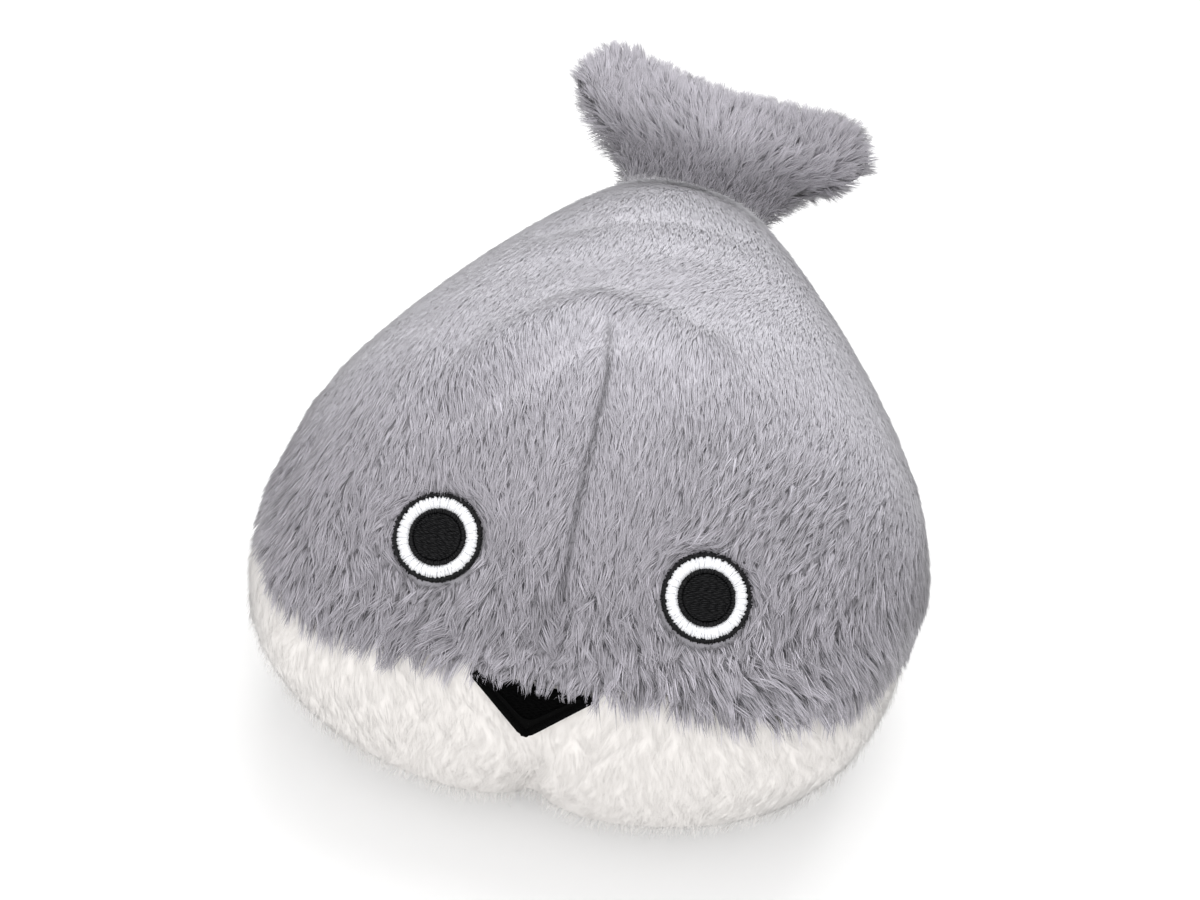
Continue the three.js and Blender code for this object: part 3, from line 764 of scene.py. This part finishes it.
# Pile: strands that rise from the cloth and lie over along the nap, drawn together in locks
def growPile(name, roots, normals, nap, look, colour, rng, material):
    count = len(roots)
    nap = unit(nap - normals * (nap * normals).sum(1, keepdims=True))
    side = np.cross(normals, nap)
    chance = np.broadcast_to(look.get("lockChance", 1.0), count)
    lockCount = max(1, int(count / look["strandsPerLock"]))
    lockCentres = rng.choice(count, lockCount, replace=False, p=chance / chance.sum())
    lock = nearestLock(roots, roots[lockCentres])
    lockTurn, lockShade = (rng.normal(size=lockCount)[lock] for step in range(2))

    def vary(key):
        return strands[key] * rng.normal(size=count)

    turn = look["turn"] * (lockTurn + vary("turn"))
    heading = nap * np.cos(turn)[:, None] + side * np.sin(turn)[:, None]
    length = look["length"] * (1 + vary("length").clip(-2 * strands["length"], 2 * strands["length"]))
    rise = np.radians(look["rise"]) * (1 + vary("rise")) + vary("wobble")
    settle = np.radians(look["settle"]) * (1 + vary("settle")) + vary("wobble")
    first, last = (
        heading * np.cos(lean)[:, None] + normals * np.sin(lean)[:, None] for lean in (rise, settle))
    control = roots + first * (length / 2)[:, None]
    end = control + last * (length / 2)[:, None]
    lockEnd = end[lockCentres][lock]
    drawn = np.clip(look["clump"] + vary("clump"), 0, strands["mostDrawn"])[:, None]
    end = mix(end, lockEnd + (end - lockEnd) * strands["lockSpread"], drawn)
    control = mix(control, control + (lockEnd - end) * strands["lockPull"], drawn)
    # Strands under the toy are pressed between its cloth and the floor
    for place in (control, end):
        place[:, 2] = np.maximum(place[:, 2], strands["floorGap"])
    strandSide = unit(np.cross(end - roots, normals) + 1e-9)
    radius = look["radius"] * (1 + vary("radius")).clip(0.5, 1.6)
    points, triangles = layAlong(strandShape, roots, control, end, strandSide, radius)
    obj = meshFrom(name, points, triangles, material)
    # Shading follows the skin more than the single strand, as in a dense pile
    along = strandShape[0][:, 2]
    share = np.repeat(np.broadcast_to(look["soft"], count), len(along))[:, None]
    soft = mix(normalsOf(obj), np.repeat(normals, len(along), axis=0), share)
    obj.data.normals_split_custom_set_from_vertices(unit(soft).tolist())
    shade = 1 + look["lockShade"] * lockShade + look["strandShade"] * rng.normal(size=count)
    # Painted shade darkens each strand towards its root and a painted highlight lightens it towards its tip,
    # over the strand's and the lock's own tone
    deep = np.broadcast_to(look["paintedRootShade"], count)[:, None]
    paintedShadeAndTone = (shade[:, None] * mix(deep, look["paintedTipHighlight"], along[None] ** strands["tipCurve"])).clip(0.1, 2.0)
    colours = np.ones((count, len(along), 4), np.float32)
    colours[..., :3] = np.clip(colour[:, None, :] * paintedShadeAndTone[..., None], 0, strands["brightest"])
    layer = obj.data.color_attributes.new("pileColour", "FLOAT_COLOR", "POINT")
    layer.data.foreach_set("color", colours.ravel())
    cellMap(obj, strandShape, count)
    return obj


# Pieces of the body's pile: cut across the toy at the given places, each with a left and a right side
def growPieces(names, cuts, roots, normals, nap, look, colour, rng, material):
    part = np.searchsorted(cuts, roots[:, 1])
    left = roots[:, 0] >= 0
    for index, name in enumerate(names):
        for side, onSide in (("_left", left), ("_right", ~left)):
            chosen = onSide & (part == index)
            own = {key: value[chosen] if np.ndim(value) else value for key, value in look.items()}
            piece = growPile(name + side, roots[chosen], normals[chosen], nap[chosen], own, colour[chosen],
                             rng, material)
            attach(piece, "body")
            print(name + side, "strands:", int(chosen.sum()))


# No pile grows in the pockets of the eyes and the mouth, and round them it turns aside
pockets = {
    "eyeEdge": 0.15 * mm, "mouthEdge": 0.3 * mm, "near": 2 * mm, "eyeReach": 13 * mm, "mouthReach": 10 * mm,
}


def turnAside(nap, outwards, away, reach):
    inwards = np.minimum((nap * outwards).sum(1), 0)
    near = 1 - ease(pockets["near"], reach, away)
    return nap - outwards * (inwards * near)[:, None]


def keepClear(roots, nap, overMouth):
    keep = np.ones(len(roots), bool)
    for side, seat in eyeSeats.items():
        away, local = eyeDistance(roots, side)
        keep &= away > pockets["eyeEdge"]
        outwards = unit(local[:, :1] * seat.side + local[:, 1:2] * seat.up)
        nap = turnAside(nap, outwards, away, pockets["eyeReach"])
    away, local = mouthDistance(roots)
    keep &= away > pockets["mouthEdge"]
    if not overMouth:
        outwards = unit(np.stack([local[:, 0], local[:, 1] + mouth["height"] / 3], -1))
        outwards = outwards[:, :1] * mouthSeat.side + outwards[:, 1:] * mouthSeat.up
        nap = turnAside(nap, outwards, away, pockets["mouthReach"])
    return keep, unit(nap)


# Grey pile of the back and the face. Each of the looks is for the face, for the back and for the lip
backPile = {
    "seed": 21, "perSquareMm": 4.2, "muzzle": (-0.0055, -0.126, 0.052), "grey": (0.442, 0.424, 0.464),
    "silverAndTopLight": (0.605, 0.592, 0.64), "swirl": 0.14, "swirlSize": 0.07, "gather": 0.5, "fan": 14.0,
    "spread": (-0.4, 1.3), "pieces": ("face_pile", "back_pile", "rear_pile"), "cuts": (-0.05, 0.0),
    "looks": {
        "length": (6.8, 5.6, 8.6), "rise": (27, 13, 46), "settle": (5, 0, 9), "turn": (0.18, 0.08, 0.32),
        "radius": (0.125, 0.11, 0.135), "lockShade": (0.05, 0.02, 0.11), "strandShade": (0.1, 0.03, 0.18),
    },
}
# Middle of the sewn line that the fin folds on
tailRoot = np.array([0.00098, 0.076408, 0.0613])


def growBackPile():
    rng = np.random.default_rng(backPile["seed"])
    roots, normals = spreadRoots(backSkin, backPile["perSquareMm"], rng)
    towards = unit(np.array(backPile["muzzle"]) - roots)
    forwards = np.array([0.0, -1.0, -0.4])
    nap = unit(towards * backPile["gather"] + forwards * (1 - backPile["gather"]))
    # At the lip the pile fans out over the white and the mouth
    atLip, _, above = lipNearness(roots)
    across = ((roots[:, 0] - backPile["muzzle"][0]) * backPile["fan"]).clip(*backPile["spread"])
    fan = np.stack([across, np.full(len(roots), -0.3), np.full(len(roots), -1.0)], -1)
    nap = unit(mix(nap, unit(fan), (atLip * ease(22, 8, above))[:, None]))
    keep, nap = keepClear(roots, nap, True)
    roots, normals, nap = roots[keep], normals[keep], nap[keep]
    # It parts at the face dart and lies away from it
    fromDart, ofDart = besideDart(roots)
    beside = ofDart * (1 - ease(1.5 * mm, 9 * mm, np.abs(fromDart)))
    parting = ofDart * np.exp(-(fromDart / (0.8 * mm)) ** 2)
    nap[:, 0] = nap[:, 0] * (1 - beside) + 0.3 * np.sign(fromDart) * beside * (1 - parting)
    nap = swirled(unit(nap), normals, roots, backPile["swirl"], backPile["swirlSize"], rng)
    atLip, front, above = lipNearness(roots)
    x, y, _ = roots.T
    top = ease(0.0, 0.8, normals[:, 2]) * ease(-0.1, -0.015, y)
    nearEye = np.minimum(eyeDistance(roots, "left")[0], eyeDistance(roots, "right")[0])
    smooth = ease(-0.075, -0.035, y)
    fluffedAndShaded = ease(0.0, 0.03, x) * (1 - smooth)
    fromMiddle = np.abs(mouthSeat.local(roots)[:, 0]) - mouth["width"] / 2
    overMouth = ease(9 * mm, 3 * mm, mouthDistance(roots)[0]) * ease(1 * mm, -3 * mm, fromMiddle)
    fringe = front * ease(7, 2, above) * (1 - overMouth)
    corner = ease(0.068, 0.08, np.abs(x)) * ease(16, 4, above)
    fromTail = np.linalg.norm((roots - tailRoot) * (0.5, 1.0, 1.0), axis=1)
    # Shorter round the eyes, at the dart, over the mouth, at the corners of the cheeks and by the tail
    short = mix(0.66, 1.0, ease(0.5 * mm, 6 * mm, nearEye)) * mix(0.55, 1.0, ease(9 * mm, 20 * mm, fromTail))
    for shortest, share in ((0.8, beside), (0.4, parting), (0.62, overMouth), (0.6, corner)):
        short = short * mix(1.0, shortest, share)
    # The upward-facing back is lighter: partly the pile's own silvery tone, partly painted light from above
    colour = mix(np.array(backPile["grey"]), np.array(backPile["silverAndTopLight"]), top[:, None])
    # Painted shade: darker at the lip on the toy's right, in the dart's parting and a little on the toy's
    # left face; painted light makes the lip a little lighter on the toy's left
    paintedShadeAndTone = mix(1.0, mix(0.9, 1.08, fluffedAndShaded), atLip) * mix(1.0, 0.4, parting) * mix(1.0, 0.96, fluffedAndShaded)
    look = {"strandsPerLock": 9, "paintedTipHighlight": 1.14, "soft": mix(0.5, 0.92, smooth)}
    for key, (face, back, lip) in backPile["looks"].items():
        look[key] = mix(mix(face, back, smooth), lip, atLip)
    look["length"] *= short * mm
    look["radius"] *= mm
    look["rise"] = mix(look["rise"] + 6 * fluffedAndShaded, 42, overMouth)
    look["settle"] = mix(look["settle"] + 2 * fluffedAndShaded, -2, overMouth)
    look["clump"] = mix(mix(mix(0.32, 0.05, smooth) + 0.22 * fluffedAndShaded, 0.64, atLip), 0.35, fringe)
    look["lockChance"] = mix(1.0, 0.4, atLip)
    look["lockShade"] += 0.04 * fluffedAndShaded
    look["strandShade"] += 0.1 * fluffedAndShaded
    # Painted shade at the roots: deepest at the lip, less on the toy's left face, less again on the rest of
    # the face and least on the back
    look["paintedRootShade"] = mix(mix(0.66, 0.92, smooth) - 0.12 * fluffedAndShaded, 0.42, atLip)
    growPieces(backPile["pieces"], backPile["cuts"], roots, normals, nap, look, colour * paintedShadeAndTone[:, None], rng,
               greyPile)


growBackPile()

# White pile of the belly and the cheeks. Two values of a look are for a stray strand, and at the chin's edge
bellyPile = {
    "seed": 34, "perSquareMm": 1.9, "white": (0.78, 0.75, 0.724), "swirl": 0.15, "swirlSize": 0.045,
    "stray": (0.16, 0.45), "strayRise": (22, 36), "straySettle": (8, 22), "rise": 7.0, "length": 6.0,
    "pieces": ("chin_pile", "belly_pile"), "cuts": (-0.06,),
}


# Thinner on the chin, where the plush is closest, and where the toy rests
def bellyShare(points):
    resting = mix(0.65, 1.0, ease(2 * mm, 12 * mm, points[:, 2]))
    return resting * mix(1.0, 0.66, ease(-0.06, -0.1, points[:, 1]))


def growBellyPile():
    rng = np.random.default_rng(bellyPile["seed"])
    roots, normals = spreadRoots(bellySkin, bellyPile["perSquareMm"], rng, bellyShare)
    under = ease(-0.5, -0.9, normals[:, 2])[:, None]
    nap = unit(np.array([0.0, 0.1, -1.0]) * (1 - under) + np.array([0.0, 1.0, 0.0]) * under)
    keep, nap = keepClear(roots, nap, False)
    roots, normals, nap = roots[keep], normals[keep], nap[keep]
    nap = swirled(nap, normals, roots, bellyPile["swirl"], bellyPile["swirlSize"], rng)
    colour = np.array(bellyPile["white"]) * np.ones((len(roots), 1))
    short = mix(0.55, 1.0, ease(0.5 * mm, 8 * mm, mouthDistance(roots)[0]))
    # Loose strands stand off the lower edge of the chin
    facing = normals[:, 2]
    lowEdge = ease(-0.1, -0.45, facing) * ease(-0.92, -0.7, facing) * ease(-0.03, -0.08, roots[:, 1])
    stray = rng.random(len(roots)) < mix(*bellyPile["stray"], lowEdge)
    look = {
        "length": bellyPile["length"] * short * mm,
        "rise": np.where(stray, mix(*bellyPile["strayRise"], lowEdge), bellyPile["rise"]),
        "settle": np.where(stray, mix(*bellyPile["straySettle"], lowEdge), 0.0), "turn": 0.22, "clump": 0.05,
        "radius": 0.05 * mm, "strandsPerLock": 8, "lockShade": 0.0, "strandShade": 0.006, "paintedRootShade": 1.0,
        "paintedTipHighlight": 1.0, "soft": 1.0,
    }
    growPieces(bellyPile["pieces"], bellyPile["cuts"], roots, normals, nap, look, colour, rng, whitePile)


growBellyPile()


# Embroidery: stitches over a core. A plan is where they start, arch and end on the seat, and their way
def stitched(name, nodeName, seat, plan, heights, width, sunk, material, rng):
    starts, middles, ends, along = plan
    low, high = heights

    def lifted(flat, height):
        return seat.world(np.hstack([flat, np.full((len(flat), 1), height)]))

    core = nodeCopy(nodeName, name)
    core.data.materials.append(material)
    if sunk:
        # The core lies lower than the stitches over it
        local = seat.local(pointsOf(core))
        local[:, 2] = mix(sunk[0], local[:, 2], sunk[1])
        setPoints(core, seat.world(local))
    side = lifted(np.stack([-along[:, 1], along[:, 0]], -1), 0.0) - seat.origin
    radius = width / 2 * (1 + 0.12 * rng.normal(size=len(starts)))
    points, triangles = layAlong(
        stitchShape, lifted(starts, low), lifted(middles, high), lifted(ends, low), side, radius)
    piece = joined(name, [core, meshFrom(name + "_stitches", points, triangles, material)])
    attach(piece, "body")
    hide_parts(nodeName)


def straight(starts, ends):
    return starts, (starts + ends) / 2, ends, unit(ends - starts)


# Rings of an eye, from the outside in: radii, height, ragged edges and stitch width in millimetres
rings = [
    {"piece": "eye_outer_satin_", "node": "eye_outer_ring_", "inner": 9.8, "outer": 10.8, "height": 0.88,
     "ragged": (0.0, 0.4), "width": 0.46, "count": 170, "material": blackThread, "slot": "black_thread"},
    {"piece": "eye_white_satin_", "node": "eye_white_ring_", "inner": 6.9, "outer": 9.7, "height": 1.155,
     "ragged": (0.1, 0.35), "width": 0.64, "count": 150, "material": whiteThread, "slot": "white_thread"},
    {"piece": "eye_rim_satin_", "node": "eye_pupil_rim_", "inner": 5.6, "outer": 7.0, "height": 1.265,
     "ragged": (0.0, 0.15), "width": 0.42, "count": 120, "material": blackThread, "slot": "black_thread"},
]
satin = {"drift": 0.25, "slant": 0.05, "low": 0.15, "high": 1.75, "core": 0.72}


def satinRing(ring, side, seed):
    rng = np.random.default_rng(seed)
    count = ring["count"]
    angle = (np.arange(count) + satin["drift"] * rng.normal(size=count)) * (2 * math.pi / count)
    slant = satin["slant"] * rng.normal(size=count)
    inside = (ring["inner"] - ring["ragged"][0] * rng.random(count))[:, None] * mm
    outside = (ring["outer"] + ring["ragged"][1] * rng.random(count))[:, None] * mm
    ray, leaned = (np.stack([np.cos(turn), np.sin(turn)], -1) for turn in (angle, angle + slant))
    plan = (ray * inside, (ray + leaned) / 2 * (inside + outside) / 2, leaned * outside, ray)
    low, height = eye["stitchLow"], ring["height"] * mm
    heights = (low + satin["low"] * height, low + satin["high"] * height)
    stitched(ring["piece"] + side, ring["node"] + side, eyeSeats[side], plan, heights, ring["width"] * mm,
             (low, satin["core"]), ring["material"], rng)


# Filled areas: rows of short stitches, in millimetres
tatami = {
    "stagger": 2.2, "length": (1.9, 2.6), "shortest": 0.5, "wander": (0.04, 0.1), "lap": 0.1, "arch": 0.6,
}


def tatamiOver(name, nodeName, seat, rows, level, width, material, seed):
    rng = np.random.default_rng(seed)
    starts, ends = [], []
    for left, right, height in rows:
        place = left - rng.uniform(0, tatami["stagger"]) * mm
        while place < right:
            reach = place + rng.uniform(*tatami["length"]) * mm
            starts.append((max(place, left), height + rng.normal() * tatami["wander"][0] * mm))
            ends.append((min(reach, right), height + rng.normal() * tatami["wander"][1] * mm))
            place = reach - tatami["lap"] * mm
    starts, ends = np.array(starts), np.array(ends)
    long = np.linalg.norm(ends - starts, axis=1) > tatami["shortest"] * mm
    stitched(name, nodeName, seat, straight(starts[long], ends[long]), (level, level + tatami["arch"] * mm),
             width, None, material, rng)


# Eyes: satin rings and a filled pupil on a felt pad
def addEye(side, seed):
    for step, ring in enumerate(rings):
        satinRing(ring, side, seed + step)
    rows = []
    for step in range(int(2 * eye["pupil"] / eye["pitch"])):
        height = -eye["pupil"] + (step + 0.5) * eye["pitch"]
        half = math.sqrt(max(eye["pupil"] ** 2 - height ** 2, 0.0)) + eye["overlap"]
        rows.append((-half, half, height))
    tatamiOver("eye_pupil_fill_" + side, "eye_pupil_" + side, eyeSeats[side], rows,
               eye["stitchLow"] + eye["pupilHeight"], eye["stitch"], blackThread, seed + len(rings))
    coat("eye_pad_" + side, blackFelt)


addEye("left", 50)
addEye("right", 60)
print("eyes stitched")


# Mouth: filled triangle with satin along its two lower edges
def addMouth():
    rows = []
    for step in range(int(mouth["height"] / mouth["pitch"]) - 2):
        depth = (step + 0.5) * mouth["pitch"]
        half = mouth["width"] / 2 * (1 - depth / mouth["height"]) - mouth["inset"]
        if half > mouth["inset"]:
            rows.append((-half, half, -depth))
    tatamiOver("mouth_fill", "mouth_patch", mouthSeat, rows, mouth["patchHigh"], mouth["pitch"], mouthThread,
               mouth["seed"])
    rng = np.random.default_rng(mouth["seed"] + 1)
    starts, ends = [], []
    for corner in (mouthCorners[0], mouthCorners[2]):
        edge = mouthCorners[1] - corner
        inward = unit(np.array([-edge[1], edge[0]]))
        if inward @ (mouthCorners.mean(0) - corner) < 0:
            inward = -inward
        count = int(np.linalg.norm(edge) / mouth["borderPitch"])
        for step in range(count):
            share = (step + 0.5 + 0.2 * rng.normal()) / count
            place = corner + edge * min(share, 0.965) + inward * mouth["inset"]
            starts.append(place - inward * rng.random() * 0.3 * mm)
            ends.append(place + inward * (mouth["border"] + rng.random() * 0.2 * mm))
    plan = straight(np.array(starts), np.array(ends))
    stitched("mouth_satin", "mouth_border", mouthSeat, plan, mouth["satin"], mouth["borderStitch"],
             (mouth["borderLow"], 0.5), mouthThread, rng)


addMouth()
print("mouth stitched")

# Tail fin: swollen fill, cloth on both faces and a longer, fluffier pile
fin = {
    "voxel": 0.0025, "smooth": 4, "grow": 0.3 * mm, "cap": 1.0 * mm, "seed": 80, "perSquareMm": 6.0,
    "grey": (0.45, 0.433, 0.474), "pile": 3.2 * mm, "axis": (0.995089, -0.046927, -0.087156),
    "swirl": 0.35, "swirlSize": 0.03,
}
finAcross = unit(np.array(fin["axis"]))


def finFrame():
    low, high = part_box("tail_fin_stuffing")
    middle = (np.array(low) + np.array(high)) / 2
    along = middle - tailRoot
    along = unit(along - finAcross * (along @ finAcross))
    return Seat(tailRoot, finAcross, along, np.cross(finAcross, along))


finSeat = finFrame()


def onTop(centre):
    return finSeat.local(np.array(centre))[2] >= 0


def addFin():
    finFill = stuffed("tail_fin_stuffing", "tail_fin_fill", fin)
    panels = ("tail_fin_upper_panel", "tail_fin_lower_panel")
    fitUnder(finFill, panels, seam["cloth"] + fin["pile"], np.zeros(len(finFill.data.vertices), bool))
    finishWith(finFill, "SUBSURF", levels=1, render_levels=1)
    finishFill(finFill, "tail_fin", "tail_fin_stuffing")
    rng = np.random.default_rng(fin["seed"])
    for name, keep, node in (("upper", onTop, panels[0]), ("lower", lambda c: not onTop(c), panels[1])):
        skin = clothOver(finFill, "tail_fin_cloth_" + name, keep, finCloth, "tail_fin", node)
        roots, normals = spreadRoots(skin, fin["perSquareMm"], rng)
        local = finSeat.local(roots)
        # The toy's right lobe has a fuller front edge, and its left lobe is darker with painted shade
        edge = ease(10 * mm, 28 * mm, -local[:, 0]) * ease(32 * mm, 12 * mm, local[:, 1])
        shadedLeftLobe = ease(0, 35 * mm, local[:, 0])
        outwards = local[:, 0] * (0.9 + 0.8 * edge)
        heading = np.stack([outwards, local[:, 1] + 12 * mm, np.zeros(len(local))], -1)
        nap = unit(finSeat.world(heading) - finSeat.origin)
        nap = swirled(nap, normals, roots, fin["swirl"], fin["swirlSize"], rng)
        # Painted shade: the pile darkens towards the fin's root, in its colour and at the strands' roots
        shadedNearRoot = ease(24 * mm, 3 * mm, local[:, 1])
        colour = np.array(fin["grey"]) * (mix(1.08, 0.5, shadedNearRoot) * mix(1.0, 0.8, shadedLeftLobe))[:, None]
        look = {
            "length": 6.8 * mm * (1 + 0.3 * edge), "rise": 54.0, "settle": 24.0, "turn": 0.4, "clump": 0.5,
            "radius": 0.12 * mm, "strandsPerLock": 12, "lockShade": 0.07, "strandShade": 0.12,
            "paintedRootShade": mix(0.66, 0.5, shadedNearRoot), "paintedTipHighlight": 1.1, "soft": 0.5,
        }
        piece = growPile("tail_fin_pile_" + name, roots, normals, nap, look, colour, rng, greyPile)
        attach(piece, "tail_fin")
        print("fin pile", name, "strands:", len(roots))


addFin()

# Sleeve over the sewn root: a flat tube of cloth and pile that turns from the body into the fin, in
# millimetres
sleeve = {
    "sides": 44, "rows": 9, "along": (-8.0, -4.0, 0.0, 5.0, 11.0),
    "halfWidth": (20.0, 19.5, 19.0, 22.0, 26.0), "halfHeight": (6.0, 4.2, 3.0, 4.2, 5.4), "fold": 5.0,
    "cloth": 0.8, "seed": 90, "perSquareMm": 4.5, "length": 5.5, "shade": 0.72, "stray": 0.4,
}


def addSleeve():
    bpy.ops.object.select_all(action="DESELECT")
    bpy.ops.mesh.primitive_grid_add(x_subdivisions=sleeve["sides"], y_subdivisions=sleeve["rows"], size=2.0)
    tube = bpy.context.object
    tube.name = tube.data.name = "tail_root_sleeve"
    flat = pointsOf(tube)
    turn = flat[:, 0] * math.pi
    along = mix(sleeve["along"][0], sleeve["along"][-1], (flat[:, 1] + 1) / 2)
    width, height = (np.interp(along, sleeve["along"], sleeve[key]) for key in ("halfWidth", "halfHeight"))
    bodyWay = np.array([0.0, 1.0, 0.0]) - finAcross * finAcross[1]
    bodyOut = np.cross(finAcross, bodyWay)
    share = ease(-sleeve["fold"], sleeve["fold"], along)[:, None]
    out = unit(mix(bodyOut, finSeat.out, share))
    middle = bodyWay * np.minimum(along, 0)[:, None] + finSeat.up * np.maximum(along, 0)[:, None]
    rim = finAcross * (width * np.cos(turn))[:, None] + out * (height * np.sin(turn))[:, None]
    setPoints(tube, tailRoot + (middle + rim) * mm)
    only(tube)
    bpy.ops.object.mode_set(mode="EDIT")
    bpy.ops.mesh.select_all(action="SELECT")
    bpy.ops.mesh.remove_doubles(threshold=1e-5)
    bpy.ops.mesh.normals_make_consistent(inside=False)
    bpy.ops.object.mode_set(mode="OBJECT")
    if ((pointsOf(tube) - tailRoot) * normalsOf(tube)).sum() < 0:
        tube.data.flip_normals()
    finishWith(tube, "SUBSURF", levels=1, render_levels=1)
    skin = (pointsOf(tube), trianglesOf(tube))
    finishWith(tube, "SOLIDIFY", thickness=sleeve["cloth"] * mm, offset=-1.0)
    tube.data.materials.append(finCloth)
    smoothShade(tube)
    rng = np.random.default_rng(sleeve["seed"])
    roots, normals = spreadRoots(skin, sleeve["perSquareMm"], rng)
    nap = unit(finSeat.up + sleeve["stray"] * rng.normal(size=roots.shape))
    look = {
        "length": sleeve["length"] * mm, "rise": 62.0, "settle": 30.0, "turn": 0.3, "clump": 0.45,
        "radius": 0.15 * mm, "strandsPerLock": 9, "lockShade": 0.07, "strandShade": 0.12, "paintedRootShade": 0.6,
        "paintedTipHighlight": 1.0, "soft": 0.45,
    }
    # Painted shade: the sleeve's pile is darker than the fin's, for the shadow at the fin's root
    colour = np.array(fin["grey"]) * sleeve["shade"] * np.ones((len(roots), 1))
    pile = growPile("tail_root_pile", roots, normals, nap, look, colour, rng, greyPile)
    for piece in (tube, pile):
        tuple(tailRoot - bodyWay * sleeve["fold"] * mm)
        tuple(tailRoot + finSeat.up * sleeve["fold"] * mm)
        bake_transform(piece)
    print("sleeve pile strands:", len(roots))


addSleeve()

# Threads of the seams stay as the CAD has them
for place in ("belly_seam", "face_dart", "chin_dart", "fin_edge", "tail_root"):
    coat(place + "_thread", sewingThread)

# Floor, backdrop and soft studio light
studio = {
    "floor": 3.0, "paleFloor": (0.82, 0.82, 0.82), "paler": 0.12, "glow": 1.75, "world": 0.9,
    "shadowReach": 0.3, "whiteReach": 0.8,
    "lamps": [
        ("top", (0.0, 0.5, 1.25), (0, -0.03, 0.05), 1.0, 9.3),
        ("front", (-0.15, -1.15, 0.65), (0, -0.05, 0.05), 1.2, 7.6),
    ],
}


def addStudio():
    bpy.ops.object.select_all(action="DESELECT")
    bpy.ops.mesh.primitive_plane_add(size=studio["floor"], location=(0, 0, 0))
    floor = bpy.context.object
    floor.name = "floor"
    material, shader, maker = newMaterial("pale_floor", Roughness=0.85, Specular_IOR_Level=0.1)
    pale = studio["paleFloor"]
    darker = tuple(0.99 * c for c in pale)
    link(noise(maker, 30.0).tint((*darker, 1.0), (*pale, 1.0)), shader, "Base Color")
    # The camera sees a paler floor than the one that lights the toy, and plain white beyond the shadow
    place = maker.out(maker.node("ShaderNodeTexCoord"), "Object")
    away = maker.out(maker.node("ShaderNodeVectorMath", {"operation": "LENGTH"}, i0=place), "Value")
    far = maker.out(maker.node("ShaderNodeMapRange", {"interpolation_type": "SMOOTHSTEP"}, Value=away,
                               From_Min=studio["shadowReach"], From_Max=studio["whiteReach"]))
    rays = maker.node("ShaderNodeLightPath")
    share = maker.out(rays, "Is Camera Ray") * (studio["paler"] + far * (1.0 - studio["paler"]))
    white = maker.out(maker.node("ShaderNodeEmission", None, Color=(1, 1, 1, 1), Strength=studio["glow"]))
    shown = maker.node("ShaderNodeMixShader", None, i0=share, i1=maker.out(shader), i2=white)
    output = next(n for n in material.node_tree.nodes if n.type == "OUTPUT_MATERIAL")
    link(maker.out(shown), output, "Surface")
    floor.data.materials.append(material)
    world = bpy.data.worlds.new("studio")
    scene.world = world
    world.use_nodes = True
    background = next(n for n in world.node_tree.nodes if n.type == "BACKGROUND")
    maker = Wire(world.node_tree, None)
    rays = maker.node("ShaderNodeLightPath")
    seen = maker.out(rays, "Is Camera Ray")
    strength = studio["world"] + seen * (1.0 - studio["world"])
    world.node_tree.links.new(strength.socket, background.inputs["Strength"])
    background.inputs["Color"].default_value = (1, 1, 1, 1)
    for name, place, target, size, power in studio["lamps"]:
        bpy.ops.object.light_add(type="AREA", location=place)
        lamp = bpy.context.object
        lamp.name = "lamp_" + name
        lamp.data.energy = power
        lamp.data.size = size
        lamp.rotation_euler = (Vector(target) - Vector(place)).to_track_quat("-Z", "Y").to_euler()


addStudio()
scene.view_settings.view_transform = "Standard"
print("floor and lamps set")
